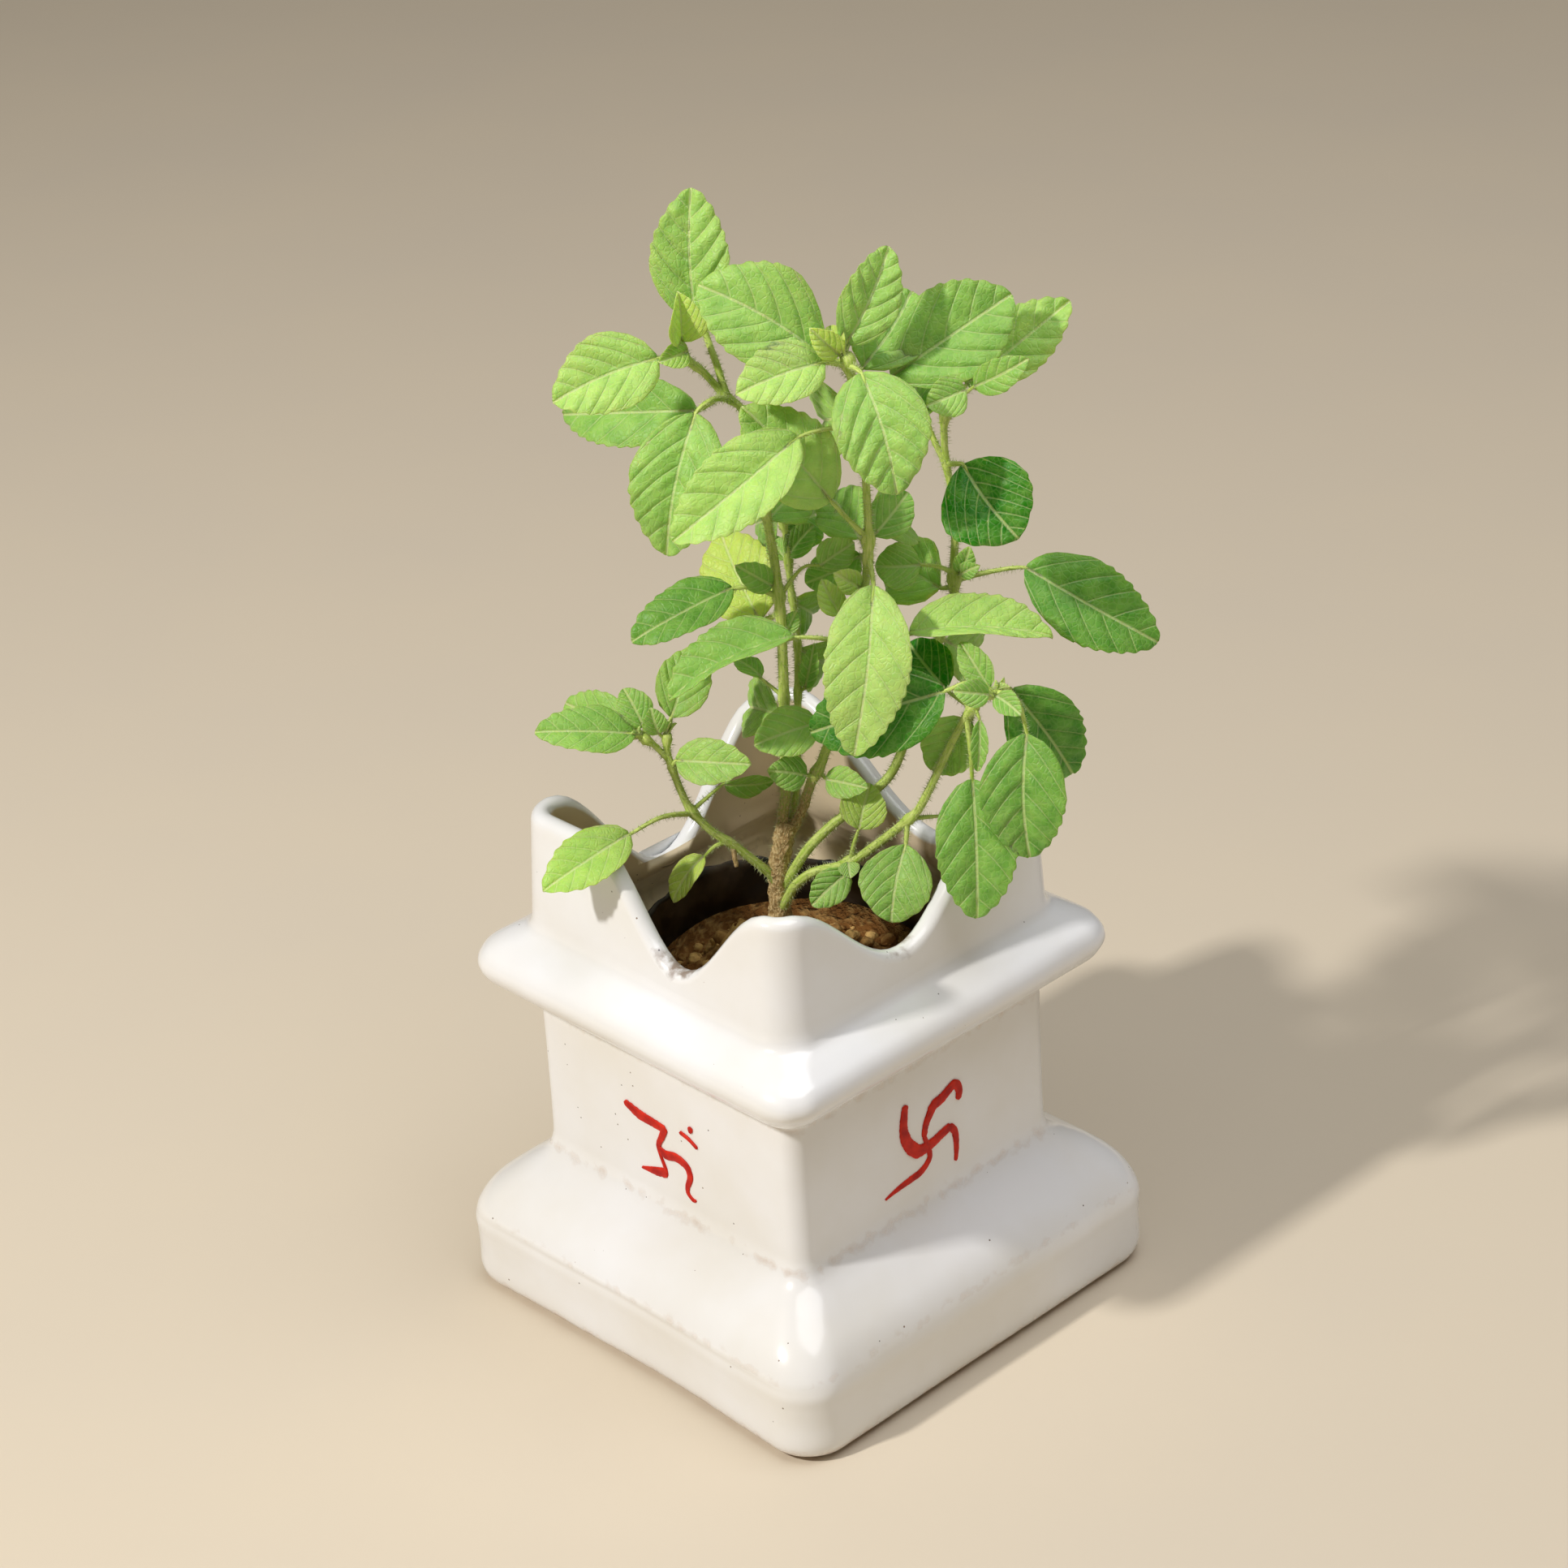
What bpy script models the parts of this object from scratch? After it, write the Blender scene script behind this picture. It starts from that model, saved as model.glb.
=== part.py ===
"""Holy basil plant in a footed square pot of glazed clay, in metres with +Z up.

The origin is at the middle of the pot's flat underside, and the pot's faces look along X and Y.
Sizes are in millimetres. Stems and leaves are placed by where they show in a photograph, and by
how far each point lies toward the camera from the pot's own axis.
"""

import math
from dataclasses import dataclass

import bpy
import numpy as np

MM = 0.001
TOUCH_GAP = 0.3

# The pot, bottom to top. Half widths are from the axis to the middle of a flat face.
PLINTH_HALF = 70.0
PLINTH_CORNER = 13.0
WAIST_HALF = 50.4
WAIST_CORNER = 5.5
CORNICE_HALF = 63.5
CORNICE_CORNER = 12.0
UPPER_FOOT_HALF = 52.0
UPPER_TOP_HALF = 50.4
UPPER_CORNER = 10.0
UPPER_FOOT_Z = 117.0
HORN_Z = 149.5
WALL = 5.5
POT_FLOOR_Z = 6.0
SIDE_COLUMNS = 7
CORNER_COLUMNS = 3

# The nursery bag of soil that stands in the pot.
BAG_RADIUS = 41.0
BAG_SHEET = 0.8
BAG_TOP_Z = 110.0
TRUNK_HOLE_GAP = 0.5
TRUNK_HOLE_SIDES = 12
SOIL_TOP_Z = 104.0

LEAF_THICK = 0.75
PETIOLE_RADIUS = 0.75
STEM_SIDES = 6
PETIOLE_SIDES = 5

# Where the camera stood, for placing what the photograph shows.
PHOTO_CENTRE = 966.0
FOCAL_PX = 4755.4
CAMERA_MM = np.array((660.60, -612.78, 635.44))
CAMERA_TURN = math.radians(47.101)
CAMERA_PITCH = math.radians(28.152)
CAMERA_ROLL = math.radians(-3.419)

RIGHTWARD = np.array((math.cos(CAMERA_TURN), math.sin(CAMERA_TURN), 0.0))
TOWARD = np.array((math.sin(CAMERA_TURN), -math.cos(CAMERA_TURN), 0.0))
UP = np.array((0.0, 0.0, 1.0))
LOOKING = -TOWARD * math.cos(CAMERA_PITCH) - UP * math.sin(CAMERA_PITCH)
PICTURE_UP = UP * math.cos(CAMERA_PITCH) - TOWARD * math.sin(CAMERA_PITCH)


@dataclass(frozen=True)
class At:
    """A point of the photograph, and how far it lies toward the camera from the pot's axis."""

    px: float
    py: float
    toward: float = 0.0


@dataclass(frozen=True)
class Leaf:
    """One blade: its ends, widest breadth and teeth a side, and how it is held.

    roll turns it about its midrib from facing the camera, fold raises its halves, arch bows it.
    node and via are the petiole's start on the stem and a point on its way.
    """

    base: At
    tip: At
    width: float
    teeth: int
    roll: float = 0.0
    fold: float = 14.0
    arch: float = 0.07
    node: At = None
    via: At = None
    widest: float = 0.44


@dataclass(frozen=True)
class Shoot:
    """A stem or side shoot: its route, and its radius at the foot and the top."""

    route: tuple
    foot_radius: float
    top_radius: float


@dataclass(frozen=True)
class LeafyStem:
    """A stem with its leaves, and the length of its foot that is one with the trunk."""

    name: str
    main: Shoot
    stub: float
    shoots: tuple
    leaves: tuple


@dataclass(frozen=True)
class RimDip:
    """The hollow in the rim between two horns, along one side of the pot."""

    centre: float
    low_z: float
    reach_back: float
    reach_on: float


RIM_DIPS = {
    "-Y": RimDip(10.0, 122.6, 32.0, 33.0),
    "+X": RimDip(-6.0, 125.0, 39.0, 37.0),
    "+Y": RimDip(8.0, 121.0, 50.0, 35.0),
    "-X": RimDip(1.0, 115.5, 42.0, 34.0),
}

TRUNK = Shoot((At(962, 1175, -1), At(961, 1127), At(959, 1078), At(966, 1030), At(972, 1012, 0)), 2.8, 2.7)

STEM_LEFT = LeafyStem(
    name="stem_left",
    main=Shoot(
        (
            At(962, 1050, 0), At(964, 1010, 0), At(968, 968, 0), At(966, 859, -1), At(962, 761, -2),
            At(955, 697, -3), At(942, 623, -3), At(928, 550, -4), At(915, 506, -5), At(894, 488, -5),
            At(866, 458, -4), At(851, 447, -4), At(841, 432, -4),
        ),
        1.6, 0.9,
    ),
    stub=13.0,
    shoots=(Shoot((At(894, 488, -5), At(885, 455, -6), At(876, 430, -9), At(865, 398, -12)), 1.0, 0.8),),
    leaves=(
        Leaf(At(857, 394, -12), At(851, 231, -22), 21, 6, node=At(866, 402), fold=18, arch=0.05),
        Leaf(At(840, 422, -4), At(836, 360, -2), 15, 4, node=At(842, 433), fold=48, roll=20),
        Leaf(At(848, 432, -4), At(812, 446, 2), 8, 3, fold=30),
        Leaf(At(811, 441, 0), At(681, 496, 9), 21, 6, roll=12, node=At(856, 452), via=At(833, 441, -2)),
        Leaf(At(858, 506, -10), At(693, 511, -30), 19, 6, roll=10, node=At(890, 484)),
        Leaf(
            At(857, 509, 5), At(821, 685, 15), 24, 6, roll=6,
            node=At(897, 491), via=At(876, 493, 2), arch=0.1,
        ),
        Leaf(At(903, 724, -1), At(778, 791, 8), 17, 6, roll=36, node=At(957, 738), via=At(930, 724, -1)),
        Leaf(At(936, 764, -9), At(888, 656, -28), 22, 5, roll=-16, node=At(961, 757), fold=10),
        Leaf(At(952, 722, -2), At(907, 697, 4), 8, 4, node=At(957, 726)),
        Leaf(At(1010, 697, -1), At(1052, 668, 0), 10, 4, node=At(959, 735), via=At(988, 700, -2)),
        Leaf(At(938, 834, -5), At(905, 812, -12), 7, 3, node=At(966, 858), roll=40),
        Leaf(At(968, 781, -2), At(981, 753, -4), 5, 3, node=At(964, 784)),
        Leaf(At(946, 640, -4), At(978, 598, -22), 16, 4, node=At(944, 630), fold=10),
        Leaf(At(960, 880, -6), At(925, 872, -30), 17, 4, node=At(966, 886), fold=12, arch=0.12),
    ),
)

STEM_BACK = LeafyStem(
    name="stem_back",
    main=Shoot(
        (
            At(966, 1040, -1), At(977, 1003, -3), At(982, 952, -6), At(983, 859, -9), At(982, 786, -11),
            At(974, 720, -12), At(969, 665, -13), At(962, 632, -14),
        ),
        1.1, 0.8,
    ),
    stub=12.0,
    shoots=(),
    leaves=(
        Leaf(At(970, 686, -12), At(1003, 647, -16), 9, 4, node=At(970, 692), fold=30),
        Leaf(At(968, 690, -13), At(951, 662, -18), 7, 3, node=At(970, 694), fold=30),
        Leaf(At(964, 650, -15), At(1006, 634, -32), 16, 4, node=At(963, 646)),
        Leaf(At(958, 634, -16), At(930, 646, -34), 15, 4, node=At(963, 640)),
        Leaf(At(992, 848, -8), At(1003, 793, -7), 6, 4, node=At(984, 856), fold=30),
        Leaf(At(986, 800, -14), At(1012, 822, -38), 17, 4, node=At(982, 793), arch=0.12),
        Leaf(At(977, 742, -15), At(1000, 757, -34), 15, 4, node=At(977, 735), arch=0.1),
    ),
)

STEM_CENTRE = LeafyStem(
    name="stem_centre",
    main=Shoot(
        (
            At(966, 1036, 0), At(984, 1008, 1), At(1000, 962, 3), At(1012, 940, 3), At(1030, 885, 4),
            At(1052, 792, 5), At(1066, 720, 5), At(1070, 664, 4), At(1067, 595, 2), At(1062, 520, 0),
            At(1048, 461, -1), At(1042, 436, -1),
        ),
        1.4, 0.9,
    ),
    stub=11.0,
    shoots=(),
    leaves=(
        Leaf(At(1014, 439, 0), At(860, 351, -4), 27, 6, roll=10, node=At(1046, 452), arch=0.08, widest=0.5),
        Leaf(At(1016, 446, 3), At(907, 486, 12), 17, 5, roll=16, node=At(1045, 450)),
        Leaf(At(1034, 438, 0), At(998, 405, 3), 9, 3, node=At(1042, 440), fold=35),
        Leaf(At(1038, 430, 1), At(1020, 402, -4), 6, 3, node=At(1042, 440), fold=35),
        Leaf(At(1042, 425, -1), At(1095, 303, -10), 16, 6, roll=14, node=At(1042, 439), fold=18),
        Leaf(At(1063, 453, -7), At(1123, 358, -27), 20, 5, node=At(1045, 447)),
        Leaf(
            At(1098, 464, -9), At(1247, 362, -17), 26, 6, roll=-6,
            node=At(1050, 466), via=At(1075, 468, -5), widest=0.5,
        ),
        Leaf(At(1061, 459, 7), At(1105, 610, 22), 25, 6, roll=-4, node=At(1046, 452), arch=0.1),
        Leaf(
            At(984, 538, 11), At(828, 668, 24), 22, 6, roll=12,
            node=At(1062, 528), via=At(1021, 528, 6), fold=22,
        ),
        Leaf(At(1024, 617, 6), At(914, 501, 6), 22, 6, roll=8, node=At(1068, 662), via=At(1045, 640, 5)),
        Leaf(At(1076, 721, 11), At(1052, 932, 27), 23, 7, roll=4, node=At(1070, 684), arch=0.08),
        Leaf(At(1077, 660, 3), At(1119, 606, -4), 12, 4, node=At(1069, 668)),
        Leaf(At(1058, 662, -6), At(1020, 610, -26), 16, 4, node=At(1069, 668)),
        Leaf(At(1060, 684, -9), At(992, 719, -8), 13, 4, roll=-10, node=At(1068, 690)),
        Leaf(At(1060, 724, 6), At(1028, 706, 10), 7, 3, node=At(1064, 734)),
        Leaf(At(1036, 758, 7), At(1012, 714, 6), 8, 4, node=At(1056, 776), fold=25),
        Leaf(
            At(979, 784, 14), At(824, 863, 22), 20, 6, roll=46,
            node=At(1051, 795), via=At(1015, 787, 12), fold=38,
        ),
        Leaf(
            At(1120, 779, 9), At(1298, 784, 8), 20, 6, roll=-48,
            node=At(1053, 788), via=At(1090, 785, 8), fold=34,
        ),
        Leaf(At(1009, 890, 4), At(929, 918, 8), 14, 5, roll=8, node=At(1029, 886)),
        Leaf(At(994, 956, 5), At(946, 950, 9), 10, 4, node=At(1004, 953)),
        Leaf(At(1017, 960, 5), At(1069, 971, 14), 9, 4, node=At(1008, 950)),
        Leaf(At(1078, 652, -4), At(1096, 640, -34), 18, 4, node=At(1070, 660), arch=0.12),
        Leaf(At(1056, 512, -6), At(1020, 520, -38), 22, 5, node=At(1062, 520), arch=0.12),
    ),
)

STEM_RIGHT = LeafyStem(
    name="stem_right",
    main=Shoot(
        (
            At(961, 1098, 0), At(975, 1077, 2), At(994, 1048, 3), At(1020, 1021, 3), At(1060, 988, 2),
            At(1101, 948, 0), At(1131, 862, -3), At(1160, 780, -5), At(1175, 734, -6), At(1175, 700, -6),
            At(1177, 629, -6), At(1166, 572, -6), At(1163, 526, -7), At(1166, 508, -7),
        ),
        1.4, 0.9,
    ),
    stub=8.0,
    shoots=(Shoot((At(1166, 572, -6), At(1152, 545, -7), At(1139, 515, -9)), 0.9, 0.7),),
    leaves=(
        Leaf(
            At(1190, 474, -21), At(1319, 370, -29), 18, 6, roll=-12,
            node=At(1166, 510), via=At(1182, 489, -13),
        ),
        Leaf(At(1200, 476, 1), At(1267, 442, 8), 9, 4, node=At(1166, 512), via=At(1184, 490, -3)),
        Leaf(At(1190, 480, 4), At(1142, 500, 9), 11, 4, node=At(1166, 514), via=At(1180, 494, -1)),
        Leaf(At(1139, 512, -9), At(1128, 470, -26), 15, 4, node=At(1141, 520)),
        Leaf(At(1186, 572, 0), At(1255, 664, 13), 26, 6, roll=6, node=At(1166, 574), arch=0.1, widest=0.5),
        Leaf(
            At(1263, 699, -10), At(1427, 792, -6), 23, 7, roll=-14, node=At(1175, 715), via=At(1222, 704, -9),
        ),
        Leaf(At(1134, 696, -2), At(1078, 698, -3), 13, 4, node=At(1175, 708), via=At(1156, 698, -3)),
        Leaf(At(1158, 724, -10), At(1098, 690, -30), 20, 5, node=At(1174, 722)),
        Leaf(At(1182, 706, -5), At(1195, 674, -2), 6, 3, node=At(1176, 712)),
        Leaf(At(1184, 708, -4), At(1206, 697, 1), 5, 3, node=At(1176, 714)),
        Leaf(At(1165, 790, -12), At(1200, 800, -36), 18, 5, node=At(1158, 785), arch=0.1),
        Leaf(At(1120, 862, -8), At(1090, 850, -30), 17, 4, node=At(1131, 862), arch=0.1),
    ),
)

BRANCH_LOWER_RIGHT = LeafyStem(
    name="branch_lower_right",
    main=Shoot(
        (
            At(961, 1124, 0), At(970, 1108, 3), At(981, 1090, 5), At(1002, 1075, 7), At(1034, 1067, 10),
            At(1055, 1058, 12), At(1085, 1037, 14), At(1114, 1014, 16), At(1130, 1000, 17), At(1144, 975, 18),
            At(1156, 950, 19), At(1178, 905, 20), At(1200, 870, 21), At(1223, 852, 21),
        ),
        1.4, 0.9,
    ),
    stub=8.0,
    shoots=(),
    leaves=(
        Leaf(At(1166, 850, 13), At(1119, 791, 1), 15, 4, node=At(1198, 872)),
        Leaf(At(1164, 852, 22), At(998, 903, 15), 24, 6, roll=-8, node=At(1222, 851), via=At(1196, 841, 23)),
        Leaf(At(1219, 848, 20), At(1183, 791, 14), 9, 4, node=At(1222, 852), fold=25),
        Leaf(At(1219, 856, 24), At(1175, 852, 27), 8, 4, node=At(1222, 852), fold=20),
        Leaf(At(1227, 857, 23), At(1258, 881, 30), 7, 3, node=At(1222, 852), fold=20),
        Leaf(At(1246, 850, 15), At(1322, 950, 8), 25, 6, node=At(1222, 852), roll=-8),
        Leaf(At(1265, 904, 28), At(1269, 1057, 34), 23, 6, roll=4, node=At(1222, 852), via=At(1252, 862, 26)),
        Leaf(At(1196, 888, 17), At(1148, 950, 14), 16, 5, node=At(1200, 872)),
        Leaf(At(1207, 887, 25), At(1204, 951, 28), 6, 4, node=At(1202, 870), fold=40),
        Leaf(
            At(1198, 960, 26), At(1204, 1132, 36), 22, 7, roll=-4, node=At(1193, 882), via=At(1196, 925, 24),
        ),
        Leaf(At(1116, 1040, 19), At(1098, 1137, 28), 20, 5, roll=4, node=At(1117, 1012), widest=0.5),
        Leaf(At(1160, 1006, 16), At(1206, 1020, 12), 12, 4, node=At(1122, 1008)),
        Leaf(At(1046, 1074, 12), At(1000, 1116, 15), 10, 4, node=At(1050, 1062)),
        Leaf(At(1045, 1062, 13), At(1048, 1082, 17), 6, 3, node=At(1046, 1064)),
        Leaf(At(1058, 1022, 13), At(1072, 965, 9), 13, 4, node=At(1047, 1062), via=At(1052, 1040, 13)),
    ),
)

BRANCH_LOWER_LEFT = LeafyStem(
    name="branch_lower_left",
    main=Shoot(
        (
            At(960, 1094, 0), At(949, 1077, 1), At(927, 1059, 2), At(902, 1040, 3), At(877, 1024, 4),
            At(852, 999, 4), At(840, 977, 4), At(828, 946, 4), At(822, 925, 4), At(822, 904, 4),
        ),
        1.3, 0.9,
    ),
    stub=7.0,
    shoots=(Shoot((At(824, 936, 4), At(806, 918, 5), At(790, 908, 6)), 0.9, 0.7),),
    leaves=(
        Leaf(At(827, 884, 2), At(862, 796, -9), 15, 4, node=At(822, 908)),
        Leaf(At(783, 904, 7), At(659, 902, 12), 15, 5, roll=12, node=At(793, 910)),
        Leaf(At(784, 898, -1), At(696, 866, -18), 14, 5, node=At(796, 912)),
        Leaf(At(793, 896, 5), At(768, 848, 0), 10, 4, node=At(796, 911)),
        Leaf(At(812, 905, 5), At(802, 873, 6), 7, 3, node=At(820, 914)),
        Leaf(At(832, 937, 6), At(925, 942, 14), 13, 4, roll=-8, node=At(827, 944)),
        Leaf(
            At(776, 1027, 16), At(669, 1098, 30), 16, 5, roll=24, node=At(853, 1001), via=At(815, 1007, 11),
        ),
        Leaf(At(867, 1054, 5), At(829, 1112, 9), 10, 4, roll=24, node=At(897, 1038), via=At(882, 1042, 5)),
        Leaf(At(893, 967, -3), At(955, 962, -8), 9, 4, roll=50, node=At(853, 998), via=At(872, 982, 1)),
    ),
)

LEAFY_STEMS = (STEM_LEFT, STEM_BACK, STEM_CENTRE, STEM_RIGHT, BRANCH_LOWER_RIGHT, BRANCH_LOWER_LEFT)



def finish(name, colour, roughness, metallic=0.0):
    """A plain Principled material."""
    material = bpy.data.materials.new(name)
    material.use_nodes = True
    shader = material.node_tree.nodes["Principled BSDF"]
    shader.inputs["Base Color"].default_value = (*colour, 1.0)
    shader.inputs["Roughness"].default_value = roughness
    shader.inputs["Metallic"].default_value = metallic
    return material


def mesh_object(name, points, faces, material):
    """An object from points in millimetres."""
    mesh = bpy.data.meshes.new(name)
    mesh.from_pydata([tuple(point) for point in np.asarray(points) * MM], [], faces)
    mesh.materials.append(material)
    mesh.validate()
    made = bpy.data.objects.new(name, mesh)
    bpy.context.scene.collection.objects.link(made)
    return made


def unit(vector):
    return vector / np.linalg.norm(vector)


def sight_line(px, py):
    """The direction from the camera through a pixel, one long along the line of sight."""
    right = px - PHOTO_CENTRE
    down = py - PHOTO_CENTRE
    level_right = right * math.cos(CAMERA_ROLL) + down * math.sin(CAMERA_ROLL)
    level_down = down * math.cos(CAMERA_ROLL) - right * math.sin(CAMERA_ROLL)
    return RIGHTWARD * level_right / FOCAL_PX - PICTURE_UP * level_down / FOCAL_PX + LOOKING


def seen(at):
    """The point in millimetres that shows at a pixel, at its distance toward the camera."""
    line = sight_line(at.px, at.py)
    reach = (at.toward - TOWARD @ CAMERA_MM) / (TOWARD @ line)
    return CAMERA_MM + line * reach


def smooth_curve(knots, spacing):
    """Points about a spacing apart on a smooth curve through the knots."""
    knots = [np.asarray(knot, float) for knot in knots]
    ends = [2 * knots[0] - knots[1], *knots, 2 * knots[-1] - knots[-2]]
    points = []
    for before, start, end, after in zip(ends, ends[1:], ends[2:], ends[3:]):
        steps = max(1, round(np.linalg.norm(end - start) / spacing))
        for step in range(steps):
            t = step / steps
            points.append(
                0.5 * (2 * start + (end - before) * t + (2 * before - 5 * start + 4 * end - after) * t**2
                       + (3 * start - before - 3 * end + after) * t**3)
            )
    points.append(knots[-1])
    return np.array(points)


def run_lengths(points):
    """The distance along a line of points, from its start."""
    steps = np.linalg.norm(np.diff(points, axis=0), axis=1)
    return np.concatenate([[0.0], np.cumsum(steps)])


def point_along(points, length):
    """The point at a distance along a line of points."""
    runs = run_lengths(points)
    return np.array([np.interp(length, runs, points[:, axis]) for axis in range(3)])


def stretch(points, start, end):
    """The part of a line of points between two distances along it."""
    runs = run_lengths(points)
    inner = points[(runs > start + 0.5) & (runs < end - 0.5)]
    return np.vstack([point_along(points, start), inner, point_along(points, end)])


def tube(points, radii, sides):
    """A closed round tube along points, with flat ends."""
    ways = np.gradient(points, axis=0)
    across = unit(np.cross(ways[0], RIGHTWARD + 0.3 * UP))
    rings = []
    for point, way, radius in zip(points, ways, radii):
        way = unit(way)
        across = unit(across - way * (across @ way))
        other = np.cross(way, across)
        for side in range(sides):
            turn = 2 * math.pi * side / sides
            rings.append(point + radius * (across * math.cos(turn) + other * math.sin(turn)))
    faces = [tuple(reversed(range(sides)))]
    for ring in range(len(points) - 1):
        for side in range(sides):
            here, nxt = ring * sides + side, ring * sides + (side + 1) % sides
            faces.append((here, nxt, nxt + sides, here + sides))
    faces.append(tuple(range((len(points) - 1) * sides, len(points) * sides)))
    return np.array(rings), faces


def tapered(shoot, points):
    """A shoot's radius at each of its points."""
    share = run_lengths(points) / run_lengths(points)[-1]
    return shoot.foot_radius + (shoot.top_radius - shoot.foot_radius) * share


def half_breadth(leaf, along):
    """A leaf's half breadth at a share of its length."""
    power = math.log(0.5) / math.log(leaf.widest)
    return leaf.width / 2 * math.sin(math.pi * min(1.0, along) ** power) ** 0.75


def blade(leaf):
    """A thin blade with toothed edges, folded along its midrib and bowed along its length."""
    base, tip = seen(leaf.base), seen(leaf.tip)
    length = np.linalg.norm(tip - base)
    along = (tip - base) / length
    facing = unit(CAMERA_MM - base)
    facing = unit(facing - along * (facing @ along))
    side = np.cross(along, facing)
    roll = math.radians(leaf.roll)
    facing, side = (
        facing * math.cos(roll) + side * math.sin(roll),
        side * math.cos(roll) - facing * math.sin(roll),
    )
    fold = math.radians(leaf.fold)

    def place(share, out):
        bow = 4 * leaf.arch * share * (1 - share) * length
        lift = abs(out) * math.sin(fold)
        return base + along * length * share + facing * (bow + lift) + side * out * math.cos(fold)

    middle = [place(step / leaf.teeth, 0.0) for step in range(leaf.teeth + 1)]
    edges = {}
    for hand in (-1, 1):
        edge = []
        for tooth in range(leaf.teeth):
            if tooth:
                share = tooth / leaf.teeth
                edge.append(place(share, hand * half_breadth(leaf, share) * 0.95))
            share = (tooth + 0.72) / leaf.teeth
            edge.append(place(share, hand * half_breadth(leaf, share) * 1.04))
        edges[hand] = edge
    points = middle + edges[-1] + edges[1]
    count = len(points)
    half = LEAF_THICK / 2 / math.cos(fold)
    solid = [point + facing * half for point in points] + [point - facing * half for point in points]

    first_left = leaf.teeth + 1
    first_right = first_left + len(edges[-1])
    top = []
    for first, hand in ((first_left, -1), (first_right, 1)):
        for tooth in range(leaf.teeth):
            inner, onward = tooth, tooth + 1
            peak = first + 2 * tooth
            notch = peak - 1 if tooth else inner
            later = peak + 1 if onward < leaf.teeth else onward
            fans = [(inner, notch, peak), (inner, peak, onward), (onward, peak, later)]
            for fan in fans:
                if len(set(fan)) == 3:
                    top.append(fan if hand > 0 else fan[::-1])
    outline = [0, *range(first_left, first_right), leaf.teeth, *reversed(range(first_right, count))]
    faces = [tuple(fan) for fan in top]
    faces += [tuple(corner + count for corner in reversed(fan)) for fan in top]
    for here, nxt in zip(outline, outline[1:] + outline[:1]):
        faces.append((here, nxt, nxt + count, here + count))
    return np.array(solid), faces


def nearest_on(points, at):
    """The point of a line that shows nearest to a pixel."""
    line = unit(sight_line(at.px, at.py))
    rays = points - CAMERA_MM
    off = rays - np.outer(rays @ line, line)
    return points[np.argmin(np.linalg.norm(off, axis=1))]


def petiole(leaf, line):
    """The leaf's stalk, from inside the stem to a little way up the midrib."""
    base, tip = seen(leaf.base), seen(leaf.tip)
    rooted = base + 0.12 * (tip - base)
    start = nearest_on(line, leaf.node)
    knots = [start, base, rooted]
    if leaf.via:
        knots.insert(1, seen(leaf.via))
    points = smooth_curve(knots, 9.0)
    return tube(points, np.linspace(PETIOLE_RADIUS * 1.15, PETIOLE_RADIUS * 0.85, len(points)), PETIOLE_SIDES)


def united(name, solids, material):
    """One object, from closed solids joined by a Boolean union."""
    first, *others = [mesh_object(f"{name}_piece{i}", *solid, material) for i, solid in enumerate(solids)]
    first.name = name
    first.data.name = name
    if others:
        group = bpy.data.collections.new(f"{name}_pieces")
        bpy.context.scene.collection.children.link(group)
        for piece in others:
            bpy.context.scene.collection.objects.unlink(piece)
            group.objects.link(piece)
        union = first.modifiers.new("union", "BOOLEAN")
        union.operation = "UNION"
        union.operand_type = "COLLECTION"
        union.collection = group
        union.solver = "EXACT"
        graph = bpy.context.evaluated_depsgraph_get()
        joined = bpy.data.meshes.new_from_object(first.evaluated_get(graph))
        first.modifiers.clear()
        first.data = joined
        for piece in others:
            bpy.data.objects.remove(piece)
        bpy.data.collections.remove(group)
    first.data.shade_smooth()
    first.data.set_sharp_from_angle(angle=math.radians(35))
    return first


def main_line(stem):
    return smooth_curve([seen(at) for at in stem.main.route], 9.0)


def leafy_stem(stem, material):
    """The stem above its stub, its side shoots, and each leaf on its stalk, as one solid."""
    line = main_line(stem)
    radii = tapered(stem.main, line)
    runs = run_lengths(line)
    start = stem.stub + TOUCH_GAP
    upper = stretch(line, start, runs[-1])
    solids = [tube(upper, np.interp(run_lengths(upper) + start, runs, radii), STEM_SIDES)]
    lines = [upper]
    for shoot in stem.shoots:
        shoot_line = smooth_curve([seen(at) for at in shoot.route], 6.0)
        shoot_line[0] = nearest_on(upper, shoot.route[0])
        solids.append(tube(shoot_line, tapered(shoot, shoot_line), STEM_SIDES))
        lines.append(shoot_line)
    cores = np.vstack([smooth_curve(points, 1.0) for points in lines])
    for leaf in stem.leaves:
        solids.append(blade(leaf))
        if leaf.node:
            solids.append(petiole(leaf, cores))
    return united(stem.name, solids, material)


def trunk(material):
    """The woody trunk with the foot of each stem that grows from it."""
    line = smooth_curve([seen(at) for at in TRUNK.route], 6.0)
    solids = [tube(line, tapered(TRUNK, line), STEM_SIDES + 1)]
    for stem in LEAFY_STEMS:
        whole = main_line(stem)
        radii = tapered(stem.main, whole)
        foot = stretch(whole, 0.0, stem.stub)
        solids.append(tube(foot, np.interp(run_lengths(foot), run_lengths(whole), radii), STEM_SIDES))
    return united("trunk", solids, material)


def rounded_square(half, corner, columns_a_side, columns_a_corner):
    """Points round a square with round corners, always the same number of them."""
    points = []
    straight = half - corner
    for quarter in range(4):
        turn = quarter * math.pi / 2
        east, north = math.cos(turn), math.sin(turn)
        outline = [(half, straight * (2 * step / columns_a_side - 1)) for step in range(columns_a_side)]
        for step in range(columns_a_corner):
            bend = math.pi / 2 * step / columns_a_corner
            outline.append((straight + corner * math.cos(bend), straight + corner * math.sin(bend)))
        points += [(x * east - y * north, x * north + y * east) for x, y in outline]
    return points


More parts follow.
